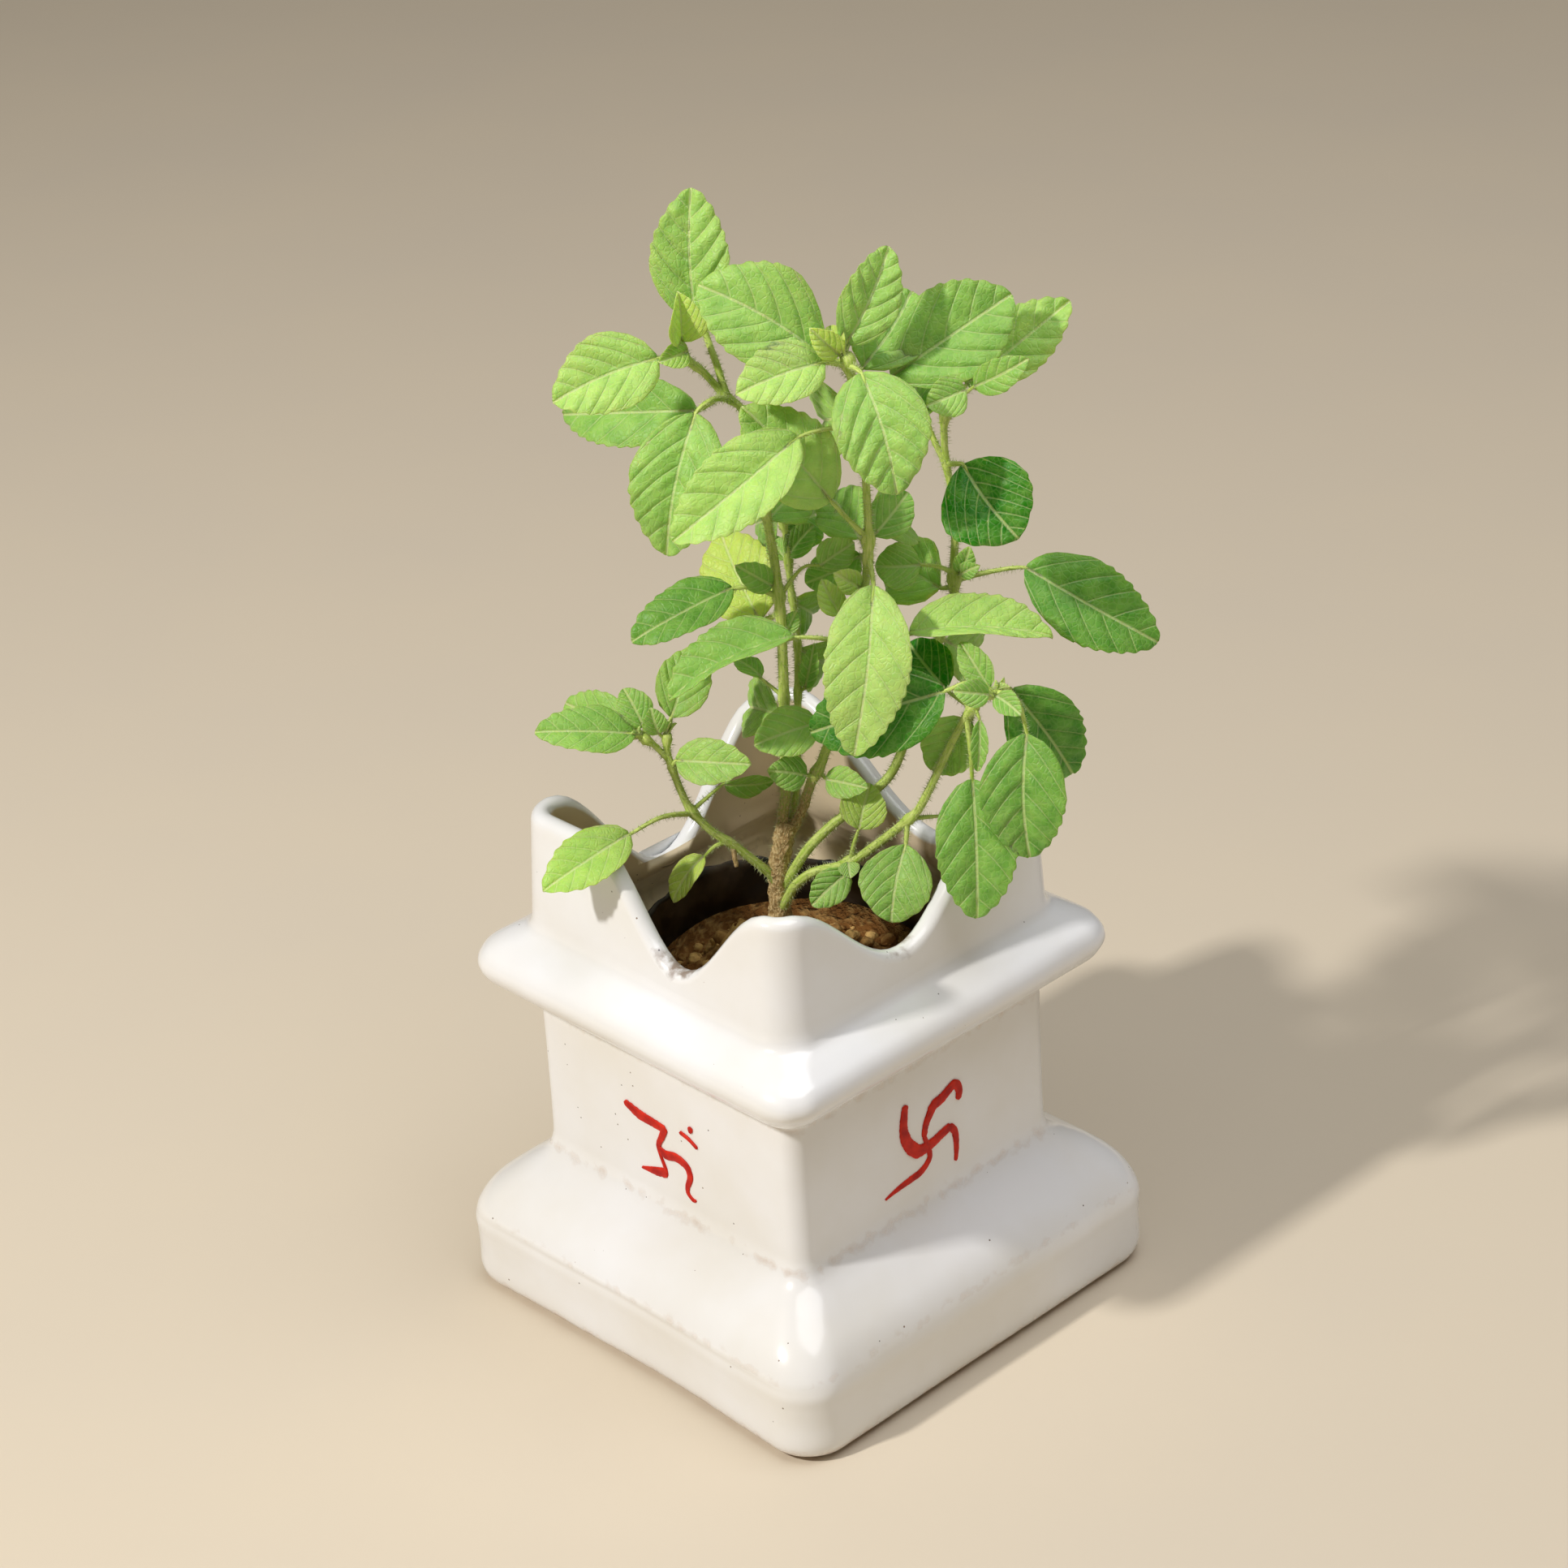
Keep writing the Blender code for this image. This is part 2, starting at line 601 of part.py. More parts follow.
def rim_height(x, y):
    """The height of the wavy rim above a point of the wall."""
    heights = []
    for dip, place in ((RIM_DIPS["+X" if x > 0 else "-X"], y), (RIM_DIPS["+Y" if y > 0 else "-Y"], x)):
        off = place - dip.centre
        share = min(1.0, abs(off) / (dip.reach_on if off > 0 else dip.reach_back))
        heights.append(dip.low_z + (HORN_Z - dip.low_z) * math.sin(share * math.pi / 2) ** 2)
    return min(heights)


# Rows of the pot's outside below its upper wall, as height, half width and corner radius.
OUTSIDE = (
    (0.0, PLINTH_HALF - 3.4, PLINTH_CORNER - 1.5),
    (1.8, PLINTH_HALF - 1.0, PLINTH_CORNER),
    (5.0, PLINTH_HALF, PLINTH_CORNER),
    (21.0, PLINTH_HALF - 0.3, PLINTH_CORNER),
    (31.0, PLINTH_HALF - 5.2, PLINTH_CORNER - 1.0),
    (37.0, PLINTH_HALF - 11.5, PLINTH_CORNER - 3.0),
    (42.0, WAIST_HALF + 2.6, WAIST_CORNER + 1.5),
    (46.0, WAIST_HALF + 0.5, WAIST_CORNER),
    (89.0, WAIST_HALF, WAIST_CORNER),
    (92.5, WAIST_HALF + 2.4, WAIST_CORNER + 1.0),
    (96.0, CORNICE_HALF - 5.8, CORNICE_CORNER - 3.5),
    (99.5, CORNICE_HALF - 1.8, CORNICE_CORNER - 1.0),
    (103.5, CORNICE_HALF, CORNICE_CORNER),
    (107.5, CORNICE_HALF - 1.4, CORNICE_CORNER),
    (110.5, CORNICE_HALF - 5.5, CORNICE_CORNER - 1.5),
    (113.5, UPPER_FOOT_HALF + 1.2, UPPER_CORNER),
    (UPPER_FOOT_Z, UPPER_FOOT_HALF, UPPER_CORNER),
)

# Rows of its inside, from under the rim down to the floor.
INSIDE = (
    (113.0, UPPER_FOOT_HALF - WALL, 4.0),
    (103.0, UPPER_FOOT_HALF - 1.0, 6.0),
    (92.0, WAIST_HALF - WALL, 3.0),
    (45.0, WAIST_HALF - WALL, 3.0),
    (38.0, WAIST_HALF - 2.0, 4.0),
    (31.0, PLINTH_HALF - 13.0, 7.0),
    (16.0, PLINTH_HALF - WALL, 8.0),
    (POT_FLOOR_Z, PLINTH_HALF - WALL - 2.0, 7.0),
)
UPPER_ROWS = (0.35, 0.7, 1.0)


def pot_row(height, half, corner):
    return [(x, y, height) for x, y in rounded_square(half, corner, SIDE_COLUMNS, CORNER_COLUMNS)]


def upper_row(share, inset, below):
    """A row of the upper wall at a share of the way up to the rim, inset from the outside."""
    row = []
    outer = rounded_square(UPPER_TOP_HALF, UPPER_CORNER, SIDE_COLUMNS, CORNER_COLUMNS)
    tops = [rim_height(x, y) for x, y in outer]
    for column, top in enumerate(tops):
        z = UPPER_FOOT_Z + (top - below - UPPER_FOOT_Z) * share
        lean = (z - UPPER_FOOT_Z) / (HORN_Z - UPPER_FOOT_Z)
        half = UPPER_FOOT_HALF + (UPPER_TOP_HALF - UPPER_FOOT_HALF) * lean - inset
        corner = max(UPPER_CORNER - inset, 3.0)
        row.append((*rounded_square(half, corner, SIDE_COLUMNS, CORNER_COLUMNS)[column], z))
    return row


def lofted(rows):
    """Points and faces of a closed skin through rows of as many points, closed at both ends."""
    columns = len(rows[0])
    points = [point for row in rows for point in row]
    faces = [tuple(reversed(range(columns)))]
    for level in range(len(rows) - 1):
        for column in range(columns):
            here, nxt = level * columns + column, level * columns + (column + 1) % columns
            faces.append((here, nxt, nxt + columns, here + columns))
    faces.append(tuple(range((len(rows) - 1) * columns, len(rows) * columns)))
    return points, faces


def pot(material):
    """The footed square pot: plinth, waist, cornice and a wall that rises to four horns."""
    rows = [pot_row(*row) for row in OUTSIDE]
    rows += [upper_row(share, 0.0, 2.4) for share in UPPER_ROWS]
    rows.append(upper_row(1.0, 1.2, 0.5))
    rows.append(upper_row(1.0, WALL - 1.2, 0.5))
    rows += [upper_row(share, WALL, 2.4) for share in reversed(UPPER_ROWS)]
    rows += [pot_row(*row) for row in INSIDE]
    return united("pot", [lofted(rows)], material)


def bag_outline(turn):
    """The bag's radius, which its soft sheet lets wander a little."""
    return BAG_RADIUS + 0.5 * math.sin(3 * turn + 0.8) + 0.3 * math.sin(7 * turn)


def bag_row(height, inset, sides=30, wave=0.0):
    row = []
    for side in range(sides):
        turn = 2 * math.pi * side / sides
        radius = bag_outline(turn) - inset
        z = height + wave * math.sin(2 * turn + 1.0) + wave * 0.5 * math.sin(5 * turn)
        row.append((radius * math.cos(turn), radius * math.sin(turn), z))
    return row


def nursery_bag(material):
    """The open bag of thin sheet, with its bottom on the pot's floor."""
    foot = POT_FLOOR_Z + TOUCH_GAP
    rows = [bag_row(foot, 2.0), bag_row(foot + 2.0, 0.0), bag_row(60.0, 0.0)]
    rows.append(bag_row(BAG_TOP_Z, 0.0, wave=1.2))
    rows += [bag_row(BAG_TOP_Z, BAG_SHEET, wave=1.2), bag_row(60.0, BAG_SHEET)]
    rows += [bag_row(foot + 2.4, BAG_SHEET), bag_row(foot + BAG_SHEET, 2.0 + BAG_SHEET)]
    return united("nursery_bag", [lofted(rows)], material)


@dataclass(frozen=True)
class Clod:
    """A lump on the soil: where it lies, how wide and how high it is."""

    x: float
    y: float
    radius: float
    height: float


CLODS = (
    Clod(-15.0, -6.0, 9.0, 6.0),
    Clod(-23.0, -18.0, 7.0, 4.0),
    Clod(6.0, -19.0, 8.0, 4.5),
    Clod(19.0, -4.0, 7.0, 3.5),
    Clod(14.0, 17.0, 10.0, 4.0),
    Clod(-8.0, 21.0, 8.0, 4.5),
    Clod(-27.0, 8.0, 7.0, 3.0),
    Clod(27.0, 12.0, 6.0, 2.5),
)


def soil_height(x, y):
    """The crumbly top of the soil, highest round the trunk."""
    distance = math.hypot(x, y)
    z = SOIL_TOP_Z + 4.5 * math.exp(-((distance / 14.0) ** 2)) + 0.5 * math.sin(0.45 * x) * math.cos(0.5 * y)
    for clod in CLODS:
        off = math.hypot(x - clod.x, y - clod.y) / clod.radius
        z += clod.height * max(0.0, 1 - off * off) ** 0.7
    return z


def soil(material, trunk_line):
    """The soil in the bag, with a lumpy top and a plain hole for the trunk."""
    inset = BAG_SHEET + TOUCH_GAP
    foot = POT_FLOOR_Z + 2 * TOUCH_GAP + BAG_SHEET
    rows = [bag_row(foot, 2.4 + inset), bag_row(foot + 2.6, inset), bag_row(60.0, inset)]
    for share in (1.0, 0.86, 0.7, 0.54, 0.38, 0.22, 0.1):
        row = []
        for x, y, _ in bag_row(0.0, inset):
            row.append((x * share, y * share, soil_height(x * share, y * share)))
        rows.append(row)
    made = united("soil", [lofted(rows)], material)
    hole_line = trunk_line[:-1].copy()
    hole_line[0] -= unit(trunk_line[1] - trunk_line[0]) * TOUCH_GAP
    radii = [TRUNK.foot_radius + TRUNK_HOLE_GAP] * len(hole_line)
    hole = mesh_object("trunk_hole", *tube(hole_line, radii, TRUNK_HOLE_SIDES), material)
    hole.hide_render = True
    hole.display_type = "WIRE"
    cut = made.modifiers.new("trunk hole", "BOOLEAN")
    cut.operation = "DIFFERENCE"
    cut.object = hole
    return made


def main():
    for leftover in list(bpy.data.objects):
        bpy.data.objects.remove(leftover)
    glaze = finish("glazed_clay", (0.88, 0.87, 0.84), 0.22)
    polythene = finish("black_polythene", (0.015, 0.014, 0.013), 0.42)
    earth = finish("garden_soil", (0.10, 0.062, 0.036), 0.95)
    bark = finish("young_bark", (0.36, 0.26, 0.13), 0.8)
    foliage = finish("basil_leaf", (0.16, 0.42, 0.05), 0.45)
    pot(glaze)
    nursery_bag(polythene)
    soil(earth, smooth_curve([seen(at) for at in TRUNK.route], 6.0))
    trunk(bark)
    for stem in LEAFY_STEMS:
        leafy_stem(stem, foliage)


main()
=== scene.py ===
"""Holy basil plant in a footed square pot of glazed clay: every visible surface of it.

Sizes are in millimetres until a mesh is made. Stems and leaves are placed by where they show in the
photograph and by how far each point lies toward the camera from the pot's own axis.
"""

import logging
import math
import random
from dataclasses import dataclass, field
from enum import Enum
from typing import Any, Optional, Sequence

import bpy
import numpy as np
from mathutils import Matrix, Vector, noise

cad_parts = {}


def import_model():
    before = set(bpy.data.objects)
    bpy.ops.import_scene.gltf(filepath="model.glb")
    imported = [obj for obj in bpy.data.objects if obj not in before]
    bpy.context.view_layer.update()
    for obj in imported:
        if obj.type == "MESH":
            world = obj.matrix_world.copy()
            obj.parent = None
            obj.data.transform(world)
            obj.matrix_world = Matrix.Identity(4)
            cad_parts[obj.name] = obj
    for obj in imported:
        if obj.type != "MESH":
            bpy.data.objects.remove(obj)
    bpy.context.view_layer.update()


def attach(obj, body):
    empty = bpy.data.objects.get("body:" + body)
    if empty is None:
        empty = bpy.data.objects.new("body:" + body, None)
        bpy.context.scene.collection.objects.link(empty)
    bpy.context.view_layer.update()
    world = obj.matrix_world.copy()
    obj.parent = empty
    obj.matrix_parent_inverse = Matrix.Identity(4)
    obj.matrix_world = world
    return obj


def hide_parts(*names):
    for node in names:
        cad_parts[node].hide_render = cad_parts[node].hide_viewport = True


LOG = logging.getLogger("holy_basil")
MM = 0.001
SEED = 41
HAIR_LENGTHS = (0.5, 1.6)
HAIR_BREADTH = 0.065

PHOTO_SIDE = 1932
PHOTO_CENTRE = PHOTO_SIDE / 2
FOCAL_PX = 4755.4
SENSOR_MM = 36.0
CAMERA_MM = np.array((660.60, -612.78, 635.44))
CAMERA_TURN = math.radians(47.101)
CAMERA_PITCH = math.radians(28.152)
CAMERA_ROLL = math.radians(-3.419)

RIGHTWARD = np.array((math.cos(CAMERA_TURN), math.sin(CAMERA_TURN), 0.0))
TOWARD = np.array((math.sin(CAMERA_TURN), -math.cos(CAMERA_TURN), 0.0))
UP = np.array((0.0, 0.0, 1.0))
LOOKING = -TOWARD * math.cos(CAMERA_PITCH) - UP * math.sin(CAMERA_PITCH)
PICTURE_UP = UP * math.cos(CAMERA_PITCH) - TOWARD * math.sin(CAMERA_PITCH)


class Side(Enum):
    """The four sides of the pot, by the way each faces."""

    FRONT = "-Y"
    RIGHT = "+X"
    BACK = "+Y"
    LEFT = "-X"


class Skin(Enum):
    """The finishes that one piece of the plant can carry, as material indices."""

    LEAF = 0
    STEM = 1
    HAIR = 2


@dataclass(frozen=True)
class At:
    """A point of the photograph, and how far it lies toward the camera from the pot's axis."""

    px: float
    py: float
    toward: float = 0.0


@dataclass(frozen=True)
class Leaf:
    """One blade: its ends, widest breadth, and how it is held.

    roll turns it about its midrib from facing the camera, fold raises its halves, arch bows it.
    node and via are the stalk's start on the stem and a point on its way. tone runs from a deep green at 0 to
    a bright one at 1:
    partly the leaf's own green, partly painted shade on leaves that lay in shadow and painted sunlight on lit
    ones.
    yellow is the share of yellow in it: young growth's own colour, and on one leaf painted light shining
    through from behind.
    """

    base: At
    tip: At
    width: float
    roll: float = 0.0
    fold: float = 14.0
    arch: float = 0.07
    node: Optional[At] = None
    via: Optional[At] = None
    widest: float = 0.44
    tone: float = 0.6
    puffed: float = 1.0
    yellow: float = 0.0


@dataclass(frozen=True)
class Shoot:
    """A stem or side shoot: its route, and its radius at the foot and the top."""

    route: tuple[At, ...]
    foot_radius: float
    top_radius: float

    def line(self, spacing: float) -> np.ndarray:
        """Points about a spacing apart along its middle."""
        return smooth_curve([seen(at) for at in self.route], spacing)

    def radii(self, line: np.ndarray) -> np.ndarray:
        """Its radius at each of those points."""
        share = run_lengths(line) / run_lengths(line)[-1]
        return self.foot_radius + (self.top_radius - self.foot_radius) * share


@dataclass(frozen=True)
class LeafyStem:
    """A stem with its side shoots and leaves, and the CAD node that it stands for."""

    name: str
    main: Shoot
    shoots: tuple[Shoot, ...]
    leaves: tuple[Leaf, ...]
    barky: float = 0.15


def linear(code: str, alpha: float = 1.0) -> tuple[float, float, float, float]:
    """Turns an sRGB hex colour to linear.

    Args:
        code: Six hex digits after a hash.
        alpha: The fourth value.

    Returns:
        Red, green, blue and alpha.
    """
    parts = [int(code[place : place + 2], 16) / 255 for place in (1, 3, 5)]
    red, green, blue = [p / 12.92 if p <= 0.04045 else ((p + 0.055) / 1.055) ** 2.4 for p in parts]
    return red, green, blue, alpha


def fill(node: bpy.types.Node, inputs: Any) -> None:
    """Gives a node's inputs their values and links.

    Args:
        node: The node.
        inputs: Numbers, nodes or their outputs, by input name, or in order for the inputs in use.
    """
    in_use = [socket for socket in node.inputs if socket.enabled]
    for place, value in inputs.items() if isinstance(inputs, dict) else zip(in_use, inputs):
        socket = node.inputs[place] if isinstance(place, str) else place
        if isinstance(value, bpy.types.Node):
            value = next(output for output in value.outputs if output.enabled)
        if isinstance(value, bpy.types.NodeSocket):
            node.id_data.links.new(value, socket)
        else:
            socket.default_value = value


def add(tree: bpy.types.NodeTree, kind: str, inputs: Any = (), **settings: Any) -> bpy.types.Node:
    """Adds a node with its settings and links.

    Args:
        tree: The material's node tree.
        kind: The node's type name, after ShaderNode.
        inputs: What its inputs get, as in fill.
        settings: The node's own properties.

    Returns:
        The new node, which stands for its first output where an input gets it.
    """
    node = tree.nodes.new("ShaderNode" + kind)
    for name, value in settings.items():
        setattr(node, name, value)
    fill(node, inputs)
    return node


def new_material(name: str) -> tuple[bpy.types.Material, bpy.types.NodeTree, bpy.types.Node]:
    """A material with its node tree and its Principled shader.

    Args:
        name: The real material's name.

    Returns:
        The material, its node tree and the shader.
    """
    material = bpy.data.materials.new(name)
    material.use_nodes = True
    return material, material.node_tree, material.node_tree.nodes["Principled BSDF"]


@dataclass(frozen=True)
class BasilLeafFinish:
    """Fresh basil leaf, grown: waxy green above, paler and matt below, with sunken veins above.

    The eye gets pale ribs, puffs between the side veins, a fine net, and light that passes through. The deep
    to bright greens are partly the leaf's own tone, partly painted shade and painted sunlight with sheen;
    faint painted shade lies at the side veins, with painted light on the puffs.
    """

    # Deep green is partly painted shade, bright green partly painted sunlight and sheen.
    deep_and_shaded: str = "#1c7200"
    bright_and_sunlit: str = "#b4e073"
    young: str = "#d3e85c"
    rib: str = "#d6e6a0"
    underside: str = "#a9cc74"
    pairs: float = 5.0
    net_mm: float = 1.5
    cloud_mm: float = 6.25
    roughness: float = 0.44

    def make(self) -> bpy.types.Material:
        """Builds the material from the leaf's own measures, which each mesh point carries.

        Returns:
            The material.
        """
        material, tree, shader = new_material("basil_leaf")
        place = add(tree, "Attribute", attribute_name="place").outputs["Vector"]
        look = add(tree, "Attribute", attribute_name="look").outputs["Vector"]
        along, across, under = add(tree, "SeparateXYZ", (place,)).outputs
        length, tone, yellow = add(tree, "SeparateXYZ", (look,)).outputs
        off = add(tree, "Math", (across,), operation="ABSOLUTE")
        square = add(tree, "Math", (off, off), operation="MULTIPLY")
        curve = add(tree, "Math", (square, length), operation="DIVIDE")
        bend = add(tree, "Math", (curve, 1.5), operation="MULTIPLY")
        lean = add(tree, "Math", (off, 0.8), operation="MULTIPLY")
        back = add(tree, "Math", (lean, bend), operation="ADD")
        side = add(tree, "Math", (across,), operation="SIGN")
        shift = add(tree, "Math", (side, 0.2), operation="MULTIPLY")
        gap = add(tree, "Math", (length, self.pairs), operation="DIVIDE")
        start = add(tree, "Math", (along, back), operation="SUBTRACT")
        passed = add(tree, "Math", (start, gap), operation="DIVIDE")
        count = add(tree, "Math", (passed, shift), operation="ADD")
        part = add(tree, "Math", (count, 0.5), operation="PINGPONG")
        apart = add(tree, "Math", (gap, 0.8), operation="MULTIPLY")
        miss = add(tree, "Math", (part, apart), operation="MULTIPLY")
        lateral = add(tree, "MapRange", (miss, 0.06, 0.36, 0.6, 0.0))
        midrib = add(tree, "MapRange", (off, 0.2, 0.55, 1.0, 0.0))
        vein = add(tree, "Math", (lateral, midrib), operation="MAXIMUM")
        cells = add(tree, "TexVoronoi", (place, 1.0 / self.net_mm), feature="DISTANCE_TO_EDGE")
        net = add(tree, "MapRange", (cells, 0.02, 0.16, 1.0, 0.0))
        cloud = add(tree, "TexNoise", (place, 1.0 / self.cloud_mm, 3.0))
        patch = add(tree, "MapRange", (cloud, 0.3, 0.7, -0.13, 0.13))
        shade = add(tree, "Math", (tone, patch), operation="ADD")
        # Painted shade at the side veins and painted light on the puffs between them.
        puff = add(tree, "MapRange", (miss, 0.0, 1.8, -0.03, 0.03))
        shade = add(tree, "Math", (shade, puff), operation="ADD")
        # Painted light: the tone mix puts shade and sunlight into the leaf's colour.
        green = add(tree, "Mix", (shade, linear(self.deep_and_shaded), linear(self.bright_and_sunlit)), data_type="RGBA")
        green = add(tree, "Mix", (yellow, green, linear(self.young)), data_type="RGBA")
        share = add(tree, "Math", (under, 0.75), operation="MULTIPLY")
        green = add(tree, "Mix", (share, green, linear(self.underside)), data_type="RGBA")
        share = add(tree, "Math", (net, 0.08), operation="MULTIPLY")
        green = add(tree, "Mix", (share, green, linear(self.rib)), data_type="RGBA")
        share = add(tree, "Math", (vein, 0.62), operation="MULTIPLY")
        green = add(tree, "Mix", (share, green, linear(self.rib)), data_type="RGBA")
        sunk = add(tree, "Math", (vein, -1.0), operation="MULTIPLY")
        dented = add(tree, "Math", (net, -0.3), operation="MULTIPLY")
        height = add(tree, "Math", (sunk, dented), operation="ADD")
        fill(shader, {
            "Base Color": green, "Roughness": self.roughness, "Specular IOR Level": 0.27,
            "Subsurface Weight": 0.5, "Subsurface Radius": (0.55, 1.0, 0.12), "Subsurface Scale": 0.002,
            "Normal": add(tree, "Bump", {"Strength": 0.55, "Distance": 0.0005, "Height": height}),
        })
        return material


@dataclass(frozen=True)
class StemFinish:
    """Young hairy basil stem, grown: yellow-green above, brown and barky toward the soil.

    The eye gets long streaks, a duller skin low down and short cracks in the bark.
    """

    green: str = "#a6c648"
    pale: str = "#d3e184"
    bark: str = "#dcc38e"
    crack: str = "#a88a56"
    roughness: float = 0.55

    def make(self) -> bpy.types.Material:
        """Builds the material; place gives turn and run in millimetres, look's first value the bark.

        Returns:
            The material.
        """
        material, tree, shader = new_material("basil_stem")
        place = add(tree, "Attribute", attribute_name="place").outputs["Vector"]
        look = add(tree, "Attribute", attribute_name="look").outputs["Vector"]
        woody = add(tree, "SeparateXYZ", (look,))
        long = add(tree, "Mapping", {"Vector": place, "Scale": (1.6, 0.22, 1.0)})
        streak = add(tree, "TexNoise", (long, 1.0, 4.0))
        short = add(tree, "Mapping", {"Vector": place, "Scale": (0.9, 0.5, 1.0)})
        flake = add(tree, "TexNoise", (short, 1.6, 6.0))
        share = add(tree, "MapRange", (streak, 0.35, 0.65, 0.0, 1.0))
        fresh = add(tree, "Mix", (share, linear(self.green), linear(self.pale)), data_type="RGBA")
        share = add(tree, "MapRange", (flake, 0.42, 0.6, 0.0, 1.0))
        old = add(tree, "Mix", (share, linear(self.crack), linear(self.bark)), data_type="RGBA")
        ragged = add(tree, "MapRange", (flake, 0.3, 0.7, -0.25, 0.25))
        edge = add(tree, "Math", (woody, ragged), operation="ADD")
        share = add(tree, "MapRange", (edge, 0.35, 0.75, 0.0, 1.0))
        relief = add(tree, "Math", (woody, 0.12), operation="ADD")
        height = add(tree, "Math", (flake, relief), operation="MULTIPLY")
        fill(shader, {
            "Base Color": add(tree, "Mix", (share, fresh, old), data_type="RGBA"),
            "Roughness": self.roughness,
            "Normal": add(tree, "Bump", {"Strength": 0.8, "Distance": 0.0012, "Height": height}),
        })
        return material


@dataclass(frozen=True)
class HairFinish:
    """Fine plant hair: nearly clear, which the eye reads as a pale fringe along stems and stalks."""

    pale: str = "#e6edc4"
    green: str = "#bccb7c"
    tone_mm: float = 3.33

    def make(self) -> bpy.types.Material:
        """Builds the material with a slight change of tone from hair to hair.

        Returns:
            The material.
        """
        material, tree, shader = new_material("basil_hair")
        point = add(tree, "TexCoord").outputs["Object"]
        tone = add(tree, "TexNoise", (point, 1000.0 / self.tone_mm))
        colour = add(tree, "Mix", (tone, linear(self.pale), linear(self.green)), data_type="RGBA")
        fill(shader, {"Base Color": colour, "Roughness": 0.5})
        return material


